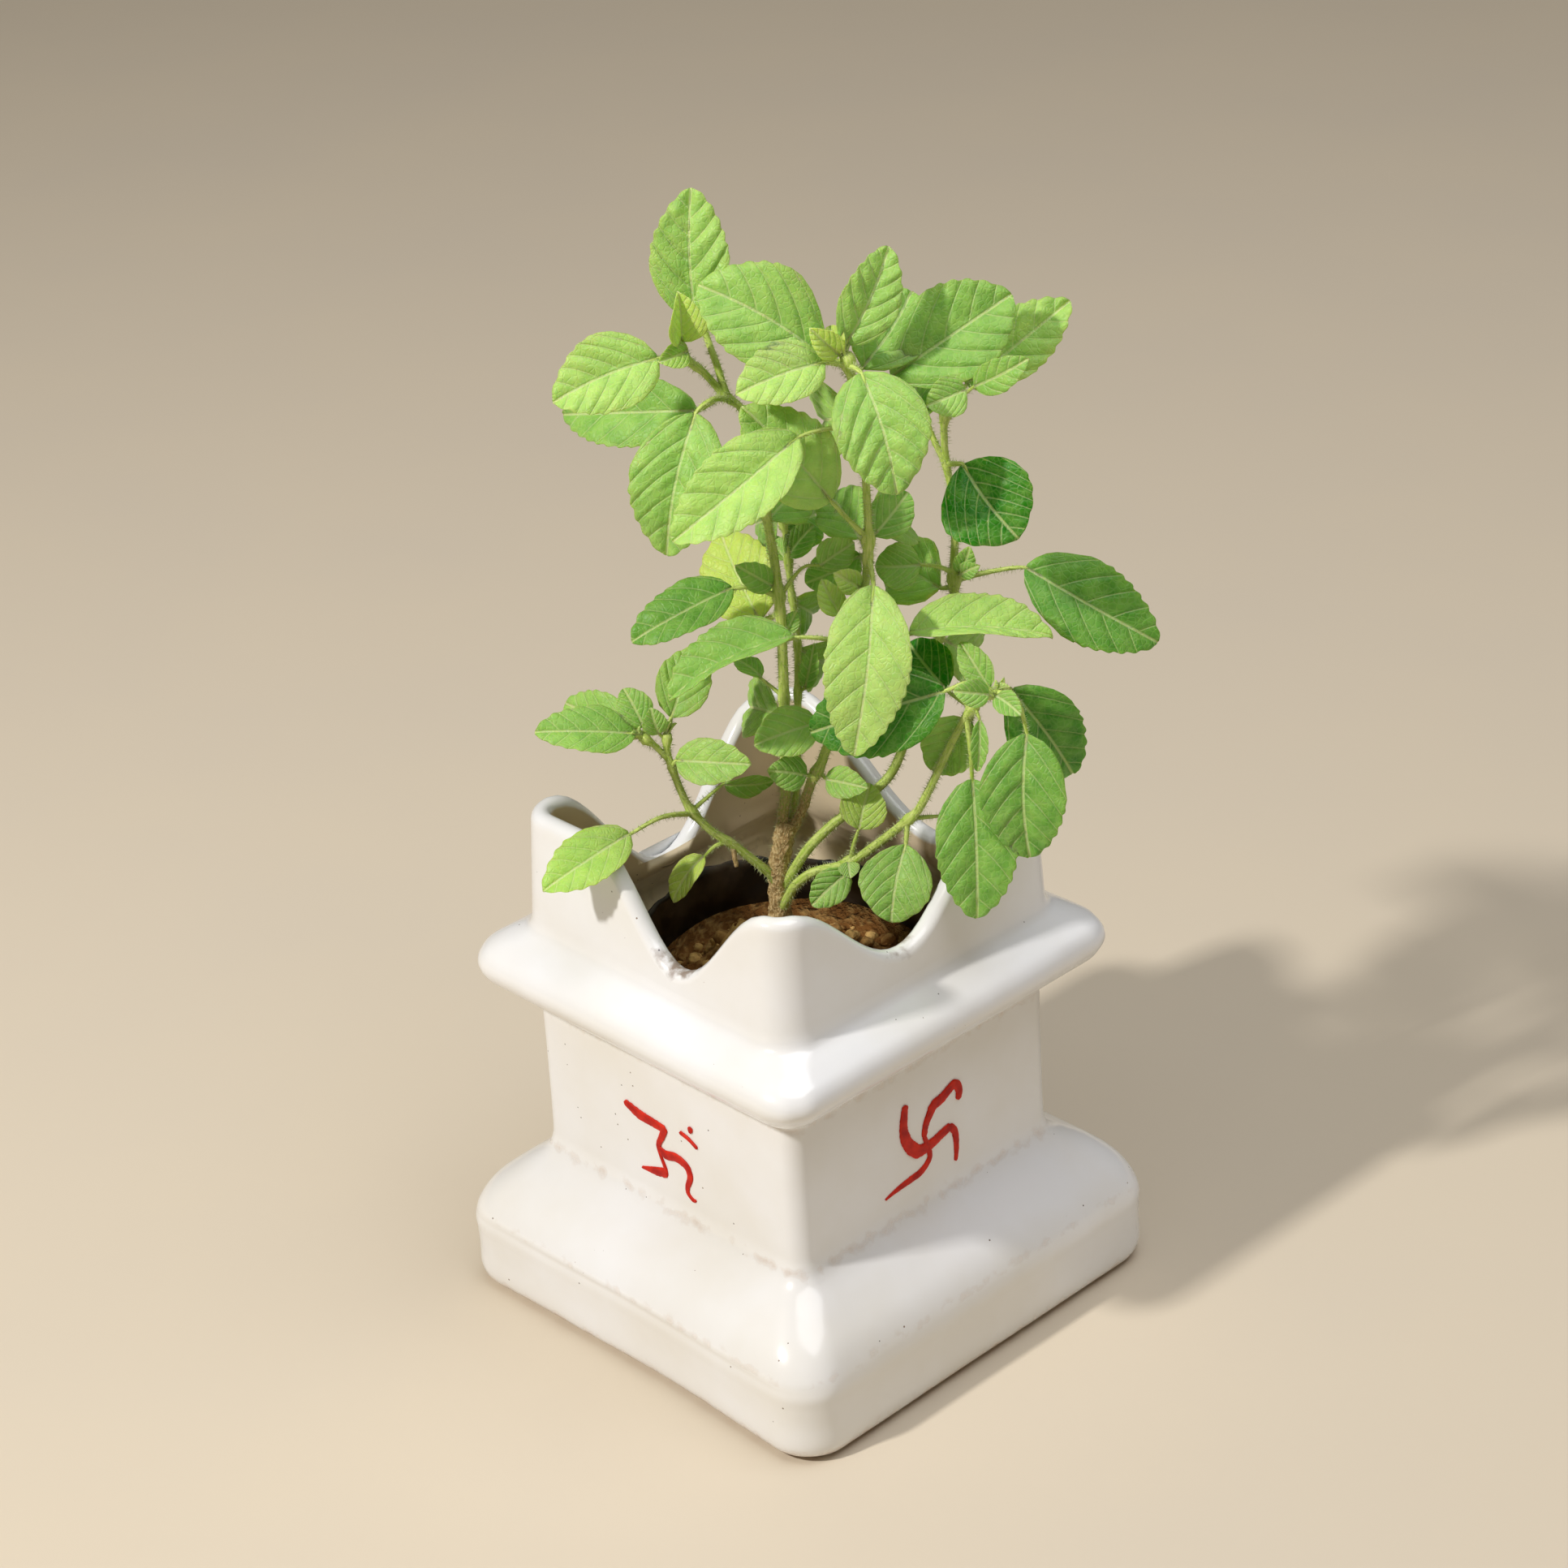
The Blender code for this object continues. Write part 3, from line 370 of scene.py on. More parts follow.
@dataclass(frozen=True)
class GlazedClayFinish:
    """White glazed earthenware, slip cast: a thick gloss coat over pale clay.

    The eye gets soft pooled gloss, dark pinholes, and tan stain where the coat thins or dirt lodges. Painted
    shade darkens the creases along with the stain, tints the inside tan and deepens down the inner wall.
    """

    white: str = "#f1f3f7"
    warm: str = "#e9e8e4"
    # Painted shade: the warm tan tint that the inside of the pot gets.
    shaded_inner: str = "#e2cb9c"
    # Tan stain; the same colour is painted shade in the creases.
    stain_and_shade: str = "#a97f4e"
    # Rim dirt; the same colour is painted shade deep down the inner wall.
    dirt_and_shade: str = "#6f5232"
    pinhole_dark: str = "#2b2a33"
    pinhole_brown: str = "#7a5a3c"
    pinhole_gap_mm: float = 3.8
    cloud_mm: float = 45.5
    fleck_mm: float = 3.85
    wave_mm: float = 18.2
    roughness: float = 0.2

    def make(self) -> bpy.types.Material:
        """Builds the material; a mesh attribute gives each point its crease stain and painted shade, its rim
        dirt and deep painted shade, and whether it lies inside, where a painted shade tint goes.

        Returns:
            The material.
        """
        material, tree, shader = new_material("glazed_clay")
        point = add(tree, "TexCoord").outputs["Object"]
        grime_and_shade = add(tree, "Attribute", attribute_name="grime_and_shade").outputs["Vector"]
        stain_and_shade, dirt_and_shade, inside = add(tree, "SeparateXYZ", (grime_and_shade,)).outputs
        cloud = add(tree, "TexNoise", (point, 1000.0 / self.cloud_mm, 4.0))
        fine = add(tree, "TexNoise", (point, 1000.0 / self.fleck_mm, 6.0))
        share = add(tree, "MapRange", (cloud, 0.35, 0.7, 0.0, 1.0))
        glaze = add(tree, "Mix", (share, linear(self.white), linear(self.warm)), data_type="RGBA")
        # Tan stain along the creases, with painted shade in the same bands.
        ragged = add(tree, "MapRange", (fine, 0.3, 0.7, -0.35, 0.35))
        ragged = add(tree, "Math", (stain_and_shade, ragged), operation="ADD")
        stained_and_shaded = add(tree, "MapRange", (ragged, 0.45, 1.1, 0.0, 1.0))
        stained_and_shaded = add(tree, "Math", (stained_and_shaded, stain_and_shade), operation="MULTIPLY")
        # Painted shade: the whole inside of the pot gets a warm tan tint.
        share = add(tree, "Math", (inside, 0.75), operation="MULTIPLY")
        glaze = add(tree, "Mix", (share, glaze, linear(self.shaded_inner)), data_type="RGBA")
        share = add(tree, "Math", (stained_and_shaded, 0.75), operation="MULTIPLY")
        glaze = add(tree, "Mix", (share, glaze, linear(self.stain_and_shade)), data_type="RGBA")
        # Dirt at the rim dips, and painted shade that deepens down the inner wall.
        muddy_and_shaded = add(tree, "MapRange", (fine, 0.3, 0.7, -0.5, 0.5))
        muddy_and_shaded = add(tree, "Math", (dirt_and_shade, muddy_and_shaded), operation="ADD")
        dirty_and_shaded = add(tree, "MapRange", (muddy_and_shaded, 0.5, 1.0, 0.0, 1.0))
        dirty_and_shaded = add(tree, "Math", (dirty_and_shaded, dirt_and_shade), operation="MULTIPLY")
        glaze = add(tree, "Mix", (dirty_and_shaded, glaze, linear(self.dirt_and_shade)), data_type="RGBA")
        cells = add(tree, "TexVoronoi", (point, 1000.0 / self.pinhole_gap_mm))
        chance, spread, tint = add(tree, "SeparateColor", (cells.outputs["Color"],)).outputs
        few = add(tree, "MapRange", (chance, 0.62, 0.64, 0.0, 1.0))
        size = add(tree, "MapRange", (spread, 0.0, 1.0, 0.02, 0.075))
        near = add(tree, "Math", (cells, size), operation="LESS_THAN")
        hole = add(tree, "Math", (near, few), operation="MULTIPLY")
        dark, brown = linear(self.pinhole_dark), linear(self.pinhole_brown)
        spot = add(tree, "Mix", (tint, dark, brown), data_type="RGBA")
        share = add(tree, "Math", (hole, 0.85), operation="MULTIPLY")
        glaze = add(tree, "Mix", (share, glaze, spot), data_type="RGBA")
        wave = add(tree, "TexNoise", (point, 1000.0 / self.wave_mm, 2.0))
        height = add(tree, "Math", (wave, hole), operation="SUBTRACT")
        dull = add(tree, "Math", (stained_and_shaded, dirty_and_shaded), operation="MAXIMUM")
        dull = add(tree, "Math", (dull, 0.45), operation="MULTIPLY")
        fill(shader, {
            "Base Color": glaze,
            "Roughness": add(tree, "Math", (self.roughness, dull), operation="ADD"),
            "Coat Weight": 0.35,
            "Coat Roughness": 0.08,
            "Normal": add(tree, "Bump", {"Strength": 0.35, "Distance": 0.0006, "Height": height}),
        })
        return material


@dataclass(frozen=True)
class RedPaintFinish:
    """Vermilion paint, brushed by hand: thick and dark where it pools, thin and orange at the edge."""

    thick: str = "#a90a04"
    thin: str = "#e02c12"
    bristle_mm: float = 2.38

    def make(self) -> bpy.types.Material:
        """Builds the material; look's first value is how thin the paint lies.

        Returns:
            The material.
        """
        material, tree, shader = new_material("red_paint")
        point = add(tree, "TexCoord").outputs["Object"]
        look = add(tree, "Attribute", attribute_name="look").outputs["Vector"]
        thin = add(tree, "SeparateXYZ", (look,))
        hairs = add(tree, "TexNoise", (point, 1000.0 / self.bristle_mm, 4.0))
        streak = add(tree, "MapRange", (hairs, 0.3, 0.7, -0.3, 0.45))
        share = add(tree, "Math", (thin, streak), operation="ADD")
        share = add(tree, "MapRange", (share, 0.0, 1.0, 0.0, 1.0))
        fill(shader, {
            "Base Color": add(tree, "Mix", (share, linear(self.thick), linear(self.thin)), data_type="RGBA"),
            "Roughness": 0.5,
            "Specular IOR Level": 0.25,
            "Normal": add(tree, "Bump", {"Strength": 0.4, "Distance": 0.0003, "Height": hairs}),
        })
        return material


@dataclass(frozen=True)
class PolytheneFinish:
    """Black polythene sheet, blown film: soft gloss on sharp crumples, dulled by dried soil."""

    black: str = "#12110f"
    dust: str = "#5e4a34"
    dust_mm: float = 14.3
    crumple_mm: float = 11.1

    def make(self) -> bpy.types.Material:
        """Builds the material with crumples and dust in its hollows.

        Returns:
            The material.
        """
        material, tree, shader = new_material("black_polythene")
        point = add(tree, "TexCoord").outputs["Object"]
        dusty = add(tree, "TexNoise", (point, 1000.0 / self.dust_mm, 6.0))
        fold = add(tree, "TexVoronoi", (point, 1000.0 / self.crumple_mm), feature="DISTANCE_TO_EDGE")
        share = add(tree, "MapRange", (dusty, 0.5, 0.75, 0.0, 0.7))
        fill(shader, {
            "Base Color": add(tree, "Mix", (share, linear(self.black), linear(self.dust)), data_type="RGBA"),
            "Roughness": add(tree, "MapRange", (dusty, 0.45, 0.75, 0.3, 0.8)),
            "Normal": add(tree, "Bump", {"Strength": 0.5, "Distance": 0.001, "Height": fold}),
        })
        return material


@dataclass(frozen=True)
class SoilFinish:
    """Garden soil, crumbled: dark where low and tan where raised, partly damp and dry earth, partly painted
    shade in the hollows and painted light on the raised mound.
    """

    damp_and_shaded: str = "#7a5228"
    # Tan of dry soil, partly painted light on the raised mound.
    dry: str = "#e2ba76"
    grain_mm: float = 2.4

    def make(self) -> bpy.types.Material:
        """Builds the material; look's first value is how high the soil is, which sets its dryness and its
        painted light.

        Returns:
            The material.
        """
        material, tree, shader = new_material("garden_soil")
        point = add(tree, "TexCoord").outputs["Object"]
        look = add(tree, "Attribute", attribute_name="look").outputs["Vector"]
        raised_and_lit = add(tree, "SeparateXYZ", (look,))
        grain = add(tree, "TexNoise", (point, 1000.0 / self.grain_mm, 8.0))
        patch = add(tree, "MapRange", (grain, 0.3, 0.7, -0.35, 0.35))
        # Higher soil is lighter: partly drier, partly painted light.
        share = add(tree, "Math", (raised_and_lit, patch), operation="ADD")
        share = add(tree, "MapRange", (share, 0.0, 1.0, 0.0, 1.0))
        fill(shader, {
            "Base Color": add(tree, "Mix", (share, linear(self.damp_and_shaded), linear(self.dry)), data_type="RGBA"),
            "Roughness": 0.95,
            "Specular IOR Level": 0.15,
            "Normal": add(tree, "Bump", {"Strength": 1.0, "Distance": 0.0015, "Height": grain}),
        })
        return material


@dataclass(frozen=True)
class FloorFinish:
    """A plain pale studio floor, painted: matt, with the faintest mottle."""

    pale: str = "#d9cdb8"
    grey: str = "#cfc6b8"
    mottle_mm: float = 111.0

    def make(self) -> bpy.types.Material:
        """Builds the material.

        Returns:
            The material.
        """
        material, tree, shader = new_material("studio_floor")
        point = add(tree, "TexCoord").outputs["Object"]
        mottle = add(tree, "TexNoise", (point, 1000.0 / self.mottle_mm, 3.0))
        share = add(tree, "MapRange", (mottle, 0.3, 0.7, 0.0, 0.25))
        colour = add(tree, "Mix", (share, linear(self.pale), linear(self.grey)), data_type="RGBA")
        fill(shader, {"Base Color": colour, "Roughness": 0.8})
        return material


def unit(vector: np.ndarray) -> np.ndarray:
    """The vector at length one."""
    return vector / np.linalg.norm(vector)


def sight_line(px: float, py: float) -> np.ndarray:
    """The direction from the camera through a pixel, one long along the line of sight.

    Args:
        px: Pixels from the photograph's left edge.
        py: Pixels from its top edge.

    Returns:
        The direction in the object's own frame.
    """
    right, down = px - PHOTO_CENTRE, py - PHOTO_CENTRE
    level_right = right * math.cos(CAMERA_ROLL) + down * math.sin(CAMERA_ROLL)
    level_down = down * math.cos(CAMERA_ROLL) - right * math.sin(CAMERA_ROLL)
    return RIGHTWARD * level_right / FOCAL_PX - PICTURE_UP * level_down / FOCAL_PX + LOOKING


def on_plane(px: float, py: float, facing: np.ndarray, distance: float) -> np.ndarray:
    """The point of a plane that shows at a pixel.

    Args:
        px: Pixels from the photograph's left edge.
        py: Pixels from its top edge.
        facing: The plane's normal.
        distance: How far the plane lies from the origin along its normal.

    Returns:
        The point in millimetres.
    """
    line = sight_line(px, py)
    return CAMERA_MM + line * (distance - facing @ CAMERA_MM) / (facing @ line)


def seen(at: At) -> np.ndarray:
    """The point in millimetres that shows at a pixel, at its distance toward the camera."""
    return on_plane(at.px, at.py, TOWARD, at.toward)


def smooth_curve(knots: Sequence[np.ndarray], spacing: float) -> np.ndarray:
    """Points about a spacing apart on a smooth curve through the knots.

    Args:
        knots: The points that it runs through, two at least.
        spacing: The distance to keep between points.

    Returns:
        The points, from the first knot to the last.
    """
    knots = [np.asarray(knot, float) for knot in knots]
    ends = [2 * knots[0] - knots[1], *knots, 2 * knots[-1] - knots[-2]]
    points = []
    for before, start, end, after in zip(ends, ends[1:], ends[2:], ends[3:]):
        steps = max(1, round(float(np.linalg.norm(end - start)) / spacing))
        for step in range(steps):
            t = step / steps
            square = (2 * before - 5 * start + 4 * end - after) * t**2
            cube = (3 * start - before - 3 * end + after) * t**3
            points.append(0.5 * (2 * start + (end - before) * t + square + cube))
    points.append(knots[-1])
    return np.array(points)


def run_lengths(points: np.ndarray) -> np.ndarray:
    """The distance along a line of points, from its start."""
    return np.concatenate([[0.0], np.cumsum(np.linalg.norm(np.diff(points, axis=0), axis=1))])


@dataclass
class Surface:
    """Points, faces and the values they carry, gathered until one mesh is made of them."""

    points: list[np.ndarray] = field(default_factory=list)
    faces: list[tuple[int, ...]] = field(default_factory=list)
    skins: list[int] = field(default_factory=list)
    place: list[np.ndarray] = field(default_factory=list)
    look: list[np.ndarray] = field(default_factory=list)
    count: int = 0

    def put(self, points: np.ndarray, faces: Sequence[Sequence[int]], skin: int = 0,
            place: Optional[np.ndarray] = None, look: Optional[np.ndarray] = None) -> None:
        """Adds a shape.

        Args:
            points: Its points in millimetres.
            faces: Its faces, counted from its own first point.
            skin: The material index of its faces.
            place: Three values a point, such as its place on a leaf.
            look: Three values a point, such as tone.
        """
        self.points.append(points)
        self.faces.extend(tuple(int(corner) + self.count for corner in face) for face in faces)
        self.skins.extend([skin] * len(faces))
        empty = np.zeros((len(points), 3))
        self.place.append(empty if place is None else place)
        self.look.append(empty if look is None else look)
        self.count += len(points)

    def make(self, name: str, materials: Sequence[bpy.types.Material]) -> bpy.types.Object:
        """Makes the one object.

        Args:
            name: The piece's name.
            materials: Its finishes, in the order of the faces' material indices.

        Returns:
            The object, linked to the scene.
        """
        mesh = bpy.data.meshes.new(name)
        mesh.from_pydata((np.vstack(self.points) * MM).tolist(), [], self.faces)
        for material in materials:
            mesh.materials.append(material)
        mesh.polygons.foreach_set("material_index", self.skins)
        for label, values in (("place", self.place), ("look", self.look)):
            layer = mesh.attributes.new(label, "FLOAT_VECTOR", "POINT")
            layer.data.foreach_set("vector", np.vstack(values).astype(np.float32).ravel())
        mesh.shade_smooth()
        made = bpy.data.objects.new(name, mesh)
        bpy.context.scene.collection.objects.link(made)
        return made


def grid_faces(rows: int, columns: int, closed: bool, start: int = 0) -> list[tuple[int, int, int, int]]:
    """Quads over a grid of points, with the last column joined to the first where it is closed.

    Args:
        rows: How many rows of points there are.
        columns: How many points each row has.
        closed: Whether each row runs round to its own start.
        start: The number of the first point.

    Returns:
        The corners of each quad.
    """
    faces = []
    for row in range(rows - 1):
        for column in range(columns if closed else columns - 1):
            here = start + row * columns + column
            nxt = start + row * columns + (column + 1) % columns
            faces.append((here, nxt, nxt + columns, here + columns))
    return faces


def lidded_faces(rows: int, columns: int) -> list[tuple[int, ...]]:
    """The faces of a closed form of stacked rings, with a flat face across the first and the last.

    Args:
        rows: How many rings there are.
        columns: How many points each ring has.

    Returns:
        The corners of each face.
    """
    faces: list[tuple[int, ...]] = list(grid_faces(rows, columns, True))
    faces.append(tuple(reversed(range(columns))))
    faces.append(tuple(range((rows - 1) * columns, rows * columns)))
    return faces


def closed_sheet(
    surface: Surface, upper: np.ndarray, under: np.ndarray, skin: int, place: np.ndarray, look: np.ndarray
) -> None:
    """Adds a thin closed solid between two grids of points, such as a leaf or a stroke of paint.

    Args:
        surface: What it is added to.
        upper: The grid of the upper side.
        under: The grid of the lower side, point for point.
        skin: Its material index.
        place: Each point's place value, upper points first.
        look: Each point's look value, upper points first.
    """
    rows, columns = upper.shape[:2]
    size = rows * columns
    quads = grid_faces(rows, columns, False)
    faces: list[tuple[int, ...]] = list(quads)
    faces += [tuple(corner + size for corner in reversed(quad)) for quad in quads]
    left = [row * columns for row in range(1, rows)]
    right = [row * columns + columns - 1 for row in range(1, rows)]
    foot = list(range(size - 2, size - columns, -1))
    outline = list(range(columns)) + right + foot + left[::-1]
    for here, nxt in zip(outline, outline[1:] + outline[:1]):
        faces.append((nxt, here, here + size, nxt + size))
    points = np.vstack([upper.reshape(-1, 3), under.reshape(-1, 3)])
    surface.put(points, faces, skin, place, look)


def ring_frames(points: np.ndarray) -> tuple[np.ndarray, np.ndarray, np.ndarray]:
    """Ways along a line of points and two directions across it that don't twist.

    Args:
        points: The points of the line.

    Returns:
        At each point, the way on and the two directions across it.
    """
    ways = np.gradient(points, axis=0)
    across = unit(np.cross(ways[0], RIGHTWARD + 0.3 * UP))
    sides, others = [], []
    for row, way in enumerate(ways):
        ways[row] = unit(way)
        across = unit(across - ways[row] * (across @ ways[row]))
        sides.append(across)
        others.append(np.cross(ways[row], across))
    return ways, np.array(sides), np.array(others)


TRUNK = Shoot((At(962, 1175, -1), At(961, 1127), At(959, 1078), At(966, 1030), At(972, 1012, 0)), 2.8, 2.7)

STEM_LEFT = LeafyStem(
    name="stem_left",
    barky=0.75,
    main=Shoot(
        (
            At(962, 1050, 0), At(964, 1010, 0), At(968, 968, 0), At(966, 859, -1), At(962, 761, -2),
            At(955, 697, -3), At(942, 623, -3), At(928, 550, -4), At(915, 506, -5), At(894, 488, -5),
            At(866, 458, -4), At(851, 447, -4), At(841, 432, -4),
        ),
        1.6, 0.9,
    ),
    shoots=(Shoot((At(894, 488, -5), At(885, 455, -6), At(876, 430, -9), At(865, 398, -12)), 1.0, 0.8),),
    leaves=(
        Leaf(
            At(857, 394, -12), At(851, 231, -22), 21,
            node=At(866, 402), fold=18, arch=0.05, tone=0.62, puffed=1.5,
        ),
        Leaf(
            At(840, 422, -4), At(836, 360, -2), 15,
            node=At(842, 433), fold=48, roll=20, tone=0.9, yellow=0.35,
        ),
        Leaf(At(848, 432, -4), At(812, 446, 2), 8, fold=30, yellow=0.2),
        Leaf(
            At(811, 441, 0), At(681, 496, 9), 21, roll=12,
            node=At(856, 452), via=At(833, 441, -2), tone=0.8,
        ),
        Leaf(At(858, 506, -10), At(693, 511, -30), 19, roll=10, node=At(890, 484), tone=0.5, puffed=0.5),
        Leaf(
            At(857, 509, 5), At(821, 685, 15), 24, roll=6,
            node=At(897, 491), via=At(876, 493, 2), arch=0.1, tone=0.72, puffed=1.2,
        ),
        Leaf(
            At(903, 724, -1), At(778, 791, 8), 17, roll=36,
            node=At(957, 738), via=At(930, 724, -1), tone=0.4,
        ),
        # Painted light: the high tone and yellow stand for sun shining through this leaf from behind.
        Leaf(
            At(936, 764, -9), At(888, 656, -28), 22, roll=-16,
            node=At(961, 757), fold=10, tone=0.9, yellow=0.5, puffed=0.6,
        ),
        Leaf(At(952, 722, -2), At(907, 697, 4), 8, node=At(957, 726)),
        Leaf(At(1010, 697, -1), At(1052, 668, 0), 10, node=At(959, 735), via=At(988, 700, -2)),
        Leaf(At(938, 834, -5), At(905, 812, -12), 7, node=At(966, 858), roll=40),
        Leaf(At(968, 781, -2), At(981, 753, -4), 5, node=At(964, 784)),
        Leaf(At(946, 640, -4), At(978, 598, -22), 16, node=At(944, 630), fold=10),
        Leaf(At(960, 880, -6), At(925, 872, -30), 17, node=At(966, 886), fold=12, arch=0.12),
    ),
)

STEM_BACK = LeafyStem(
    name="stem_back",
    barky=0.5,
    main=Shoot(
        (
            At(966, 1040, -1), At(977, 1003, -3), At(982, 952, -6), At(983, 859, -9), At(982, 786, -11),
            At(974, 720, -12), At(969, 665, -13), At(962, 632, -14),
        ),
        1.1, 0.8,
    ),
    shoots=(),
    leaves=(
        Leaf(At(970, 686, -12), At(1003, 647, -16), 9, node=At(970, 692), fold=30),
        Leaf(At(968, 690, -13), At(951, 662, -18), 7, node=At(970, 694), fold=30),
        Leaf(At(964, 650, -15), At(1006, 634, -32), 16, node=At(963, 646)),
        Leaf(At(958, 634, -16), At(930, 646, -34), 15, node=At(963, 640)),
        Leaf(At(992, 848, -8), At(1003, 793, -7), 6, node=At(984, 856), fold=30),
        Leaf(At(986, 800, -14), At(1012, 822, -38), 17, node=At(982, 793), arch=0.12),
        Leaf(At(977, 742, -15), At(1000, 757, -34), 15, node=At(977, 735), arch=0.1),
    ),
)

STEM_CENTRE = LeafyStem(
    name="stem_centre",
    barky=1.0,
    main=Shoot(
        (
            At(966, 1036, 0), At(984, 1008, 1), At(1000, 962, 3), At(1012, 940, 3), At(1030, 885, 4),
            At(1052, 792, 5), At(1066, 720, 5), At(1070, 664, 4), At(1067, 595, 2), At(1062, 520, 0),
            At(1048, 461, -1), At(1042, 436, -1),
        ),
        1.4, 0.9,
    ),
    shoots=(),
    leaves=(
        Leaf(
            At(1014, 439, 0), At(860, 351, -4), 27, roll=10,
            node=At(1046, 452), arch=0.08, widest=0.5, tone=0.72, puffed=1.15,
        ),
        Leaf(At(1016, 446, 3), At(907, 486, 12), 17, roll=16, node=At(1045, 450), tone=0.9, puffed=0.8),
        Leaf(At(1034, 438, 0), At(998, 405, 3), 9, node=At(1042, 440), fold=35, tone=0.9, yellow=0.45),
        Leaf(At(1038, 430, 1), At(1020, 402, -4), 6, node=At(1042, 440), fold=35, tone=0.9, yellow=0.45),
        Leaf(
            At(1042, 425, -1), At(1095, 303, -10), 16, roll=14,
            node=At(1042, 439), fold=18, tone=0.6, puffed=1.3,
        ),
        Leaf(At(1063, 453, -7), At(1123, 358, -27), 20, node=At(1045, 447)),
        Leaf(
            At(1098, 464, -9), At(1247, 362, -17), 26, roll=-6,
            node=At(1050, 466), via=At(1075, 468, -5), widest=0.5, tone=0.5,
        ),
        Leaf(
            At(1061, 459, 7), At(1105, 610, 22), 25, roll=-4,
            node=At(1046, 452), arch=0.1, tone=0.75, puffed=1.7,
        ),
        Leaf(
            At(984, 538, 11), At(828, 668, 24), 22, roll=12,
            node=At(1062, 528), via=At(1021, 528, 6), fold=22, tone=0.85,
        ),
        Leaf(
            At(1024, 617, 6), At(914, 501, 6), 22, roll=8,
            node=At(1068, 662), via=At(1045, 640, 5), tone=0.8,
        ),
        Leaf(
            At(1076, 721, 11), At(1052, 932, 27), 23, roll=4,
            node=At(1070, 684), arch=0.08, tone=0.8, puffed=0.8,
        ),
        Leaf(At(1077, 660, 3), At(1119, 606, -4), 12, node=At(1069, 668)),
        Leaf(At(1058, 662, -6), At(1020, 610, -26), 16, node=At(1069, 668)),
        Leaf(At(1060, 684, -9), At(992, 719, -8), 13, roll=-10, node=At(1068, 690)),
        Leaf(At(1060, 724, 6), At(1028, 706, 10), 7, node=At(1064, 734), tone=0.9, yellow=0.2),
        Leaf(At(1036, 758, 7), At(1012, 714, 6), 8, node=At(1056, 776), fold=25, tone=0.9, yellow=0.2),
        Leaf(
            At(979, 784, 14), At(824, 863, 22), 20, roll=46,
            node=At(1051, 795), via=At(1015, 787, 12), fold=38,
        ),
        Leaf(
            At(1120, 779, 9), At(1298, 784, 8), 20, roll=-48,
            node=At(1053, 788), via=At(1090, 785, 8), fold=34, tone=0.8, puffed=0.6,
        ),
        Leaf(At(1009, 890, 4), At(929, 918, 8), 14, roll=8, node=At(1029, 886)),
        Leaf(At(994, 956, 5), At(946, 950, 9), 10, node=At(1004, 953)),
        Leaf(At(1017, 960, 5), At(1069, 971, 14), 9, node=At(1008, 950)),
        Leaf(At(1078, 652, -4), At(1096, 640, -34), 18, node=At(1070, 660), arch=0.12),
        Leaf(At(1056, 512, -6), At(1020, 520, -38), 22, node=At(1062, 520), arch=0.12),
    ),
)

STEM_RIGHT = LeafyStem(
    name="stem_right",
    main=Shoot(
        (
            At(961, 1098, 0), At(975, 1077, 2), At(994, 1048, 3), At(1020, 1021, 3), At(1060, 988, 2),
            At(1101, 948, 0), At(1131, 862, -3), At(1160, 780, -5), At(1175, 734, -6), At(1175, 700, -6),
            At(1177, 629, -6), At(1166, 572, -6), At(1163, 526, -7), At(1166, 508, -7),
        ),
        1.4, 0.9,
    ),
    shoots=(Shoot((At(1166, 572, -6), At(1152, 545, -7), At(1139, 515, -9)), 0.9, 0.7),),
    leaves=(
        Leaf(
            At(1190, 474, -21), At(1319, 370, -29), 18, roll=-12,
            node=At(1166, 510), via=At(1182, 489, -13), tone=0.65, puffed=1.4,
        ),
        Leaf(At(1200, 476, 1), At(1267, 442, 8), 9, node=At(1166, 512), via=At(1184, 490, -3)),
        Leaf(At(1190, 480, 4), At(1142, 500, 9), 11, node=At(1166, 514), via=At(1180, 494, -1)),
        Leaf(At(1139, 512, -9), At(1128, 470, -26), 15, node=At(1141, 520)),
        # Painted shade: the next two leaves lay in shadow and carry low tones for it.
        Leaf(
            At(1186, 572, 0), At(1255, 664, 13), 26, roll=6,
            node=At(1166, 574), arch=0.1, widest=0.5, tone=0.15,
        ),
        Leaf(
            At(1263, 699, -10), At(1427, 792, -6), 23, roll=-14,
            node=At(1175, 715), via=At(1222, 704, -9), tone=0.15, puffed=0.7,
        ),
        Leaf(At(1134, 696, -2), At(1078, 698, -3), 13, node=At(1175, 708), via=At(1156, 698, -3)),
        Leaf(At(1158, 724, -10), At(1098, 690, -30), 20, node=At(1174, 722)),
        Leaf(At(1182, 706, -5), At(1195, 674, -2), 6, node=At(1176, 712)),
        Leaf(At(1184, 708, -4), At(1206, 697, 1), 5, node=At(1176, 714)),
        Leaf(At(1165, 790, -12), At(1200, 800, -36), 18, node=At(1158, 785), arch=0.1),
        Leaf(At(1120, 862, -8), At(1090, 850, -30), 17, node=At(1131, 862), arch=0.1),
    ),
)

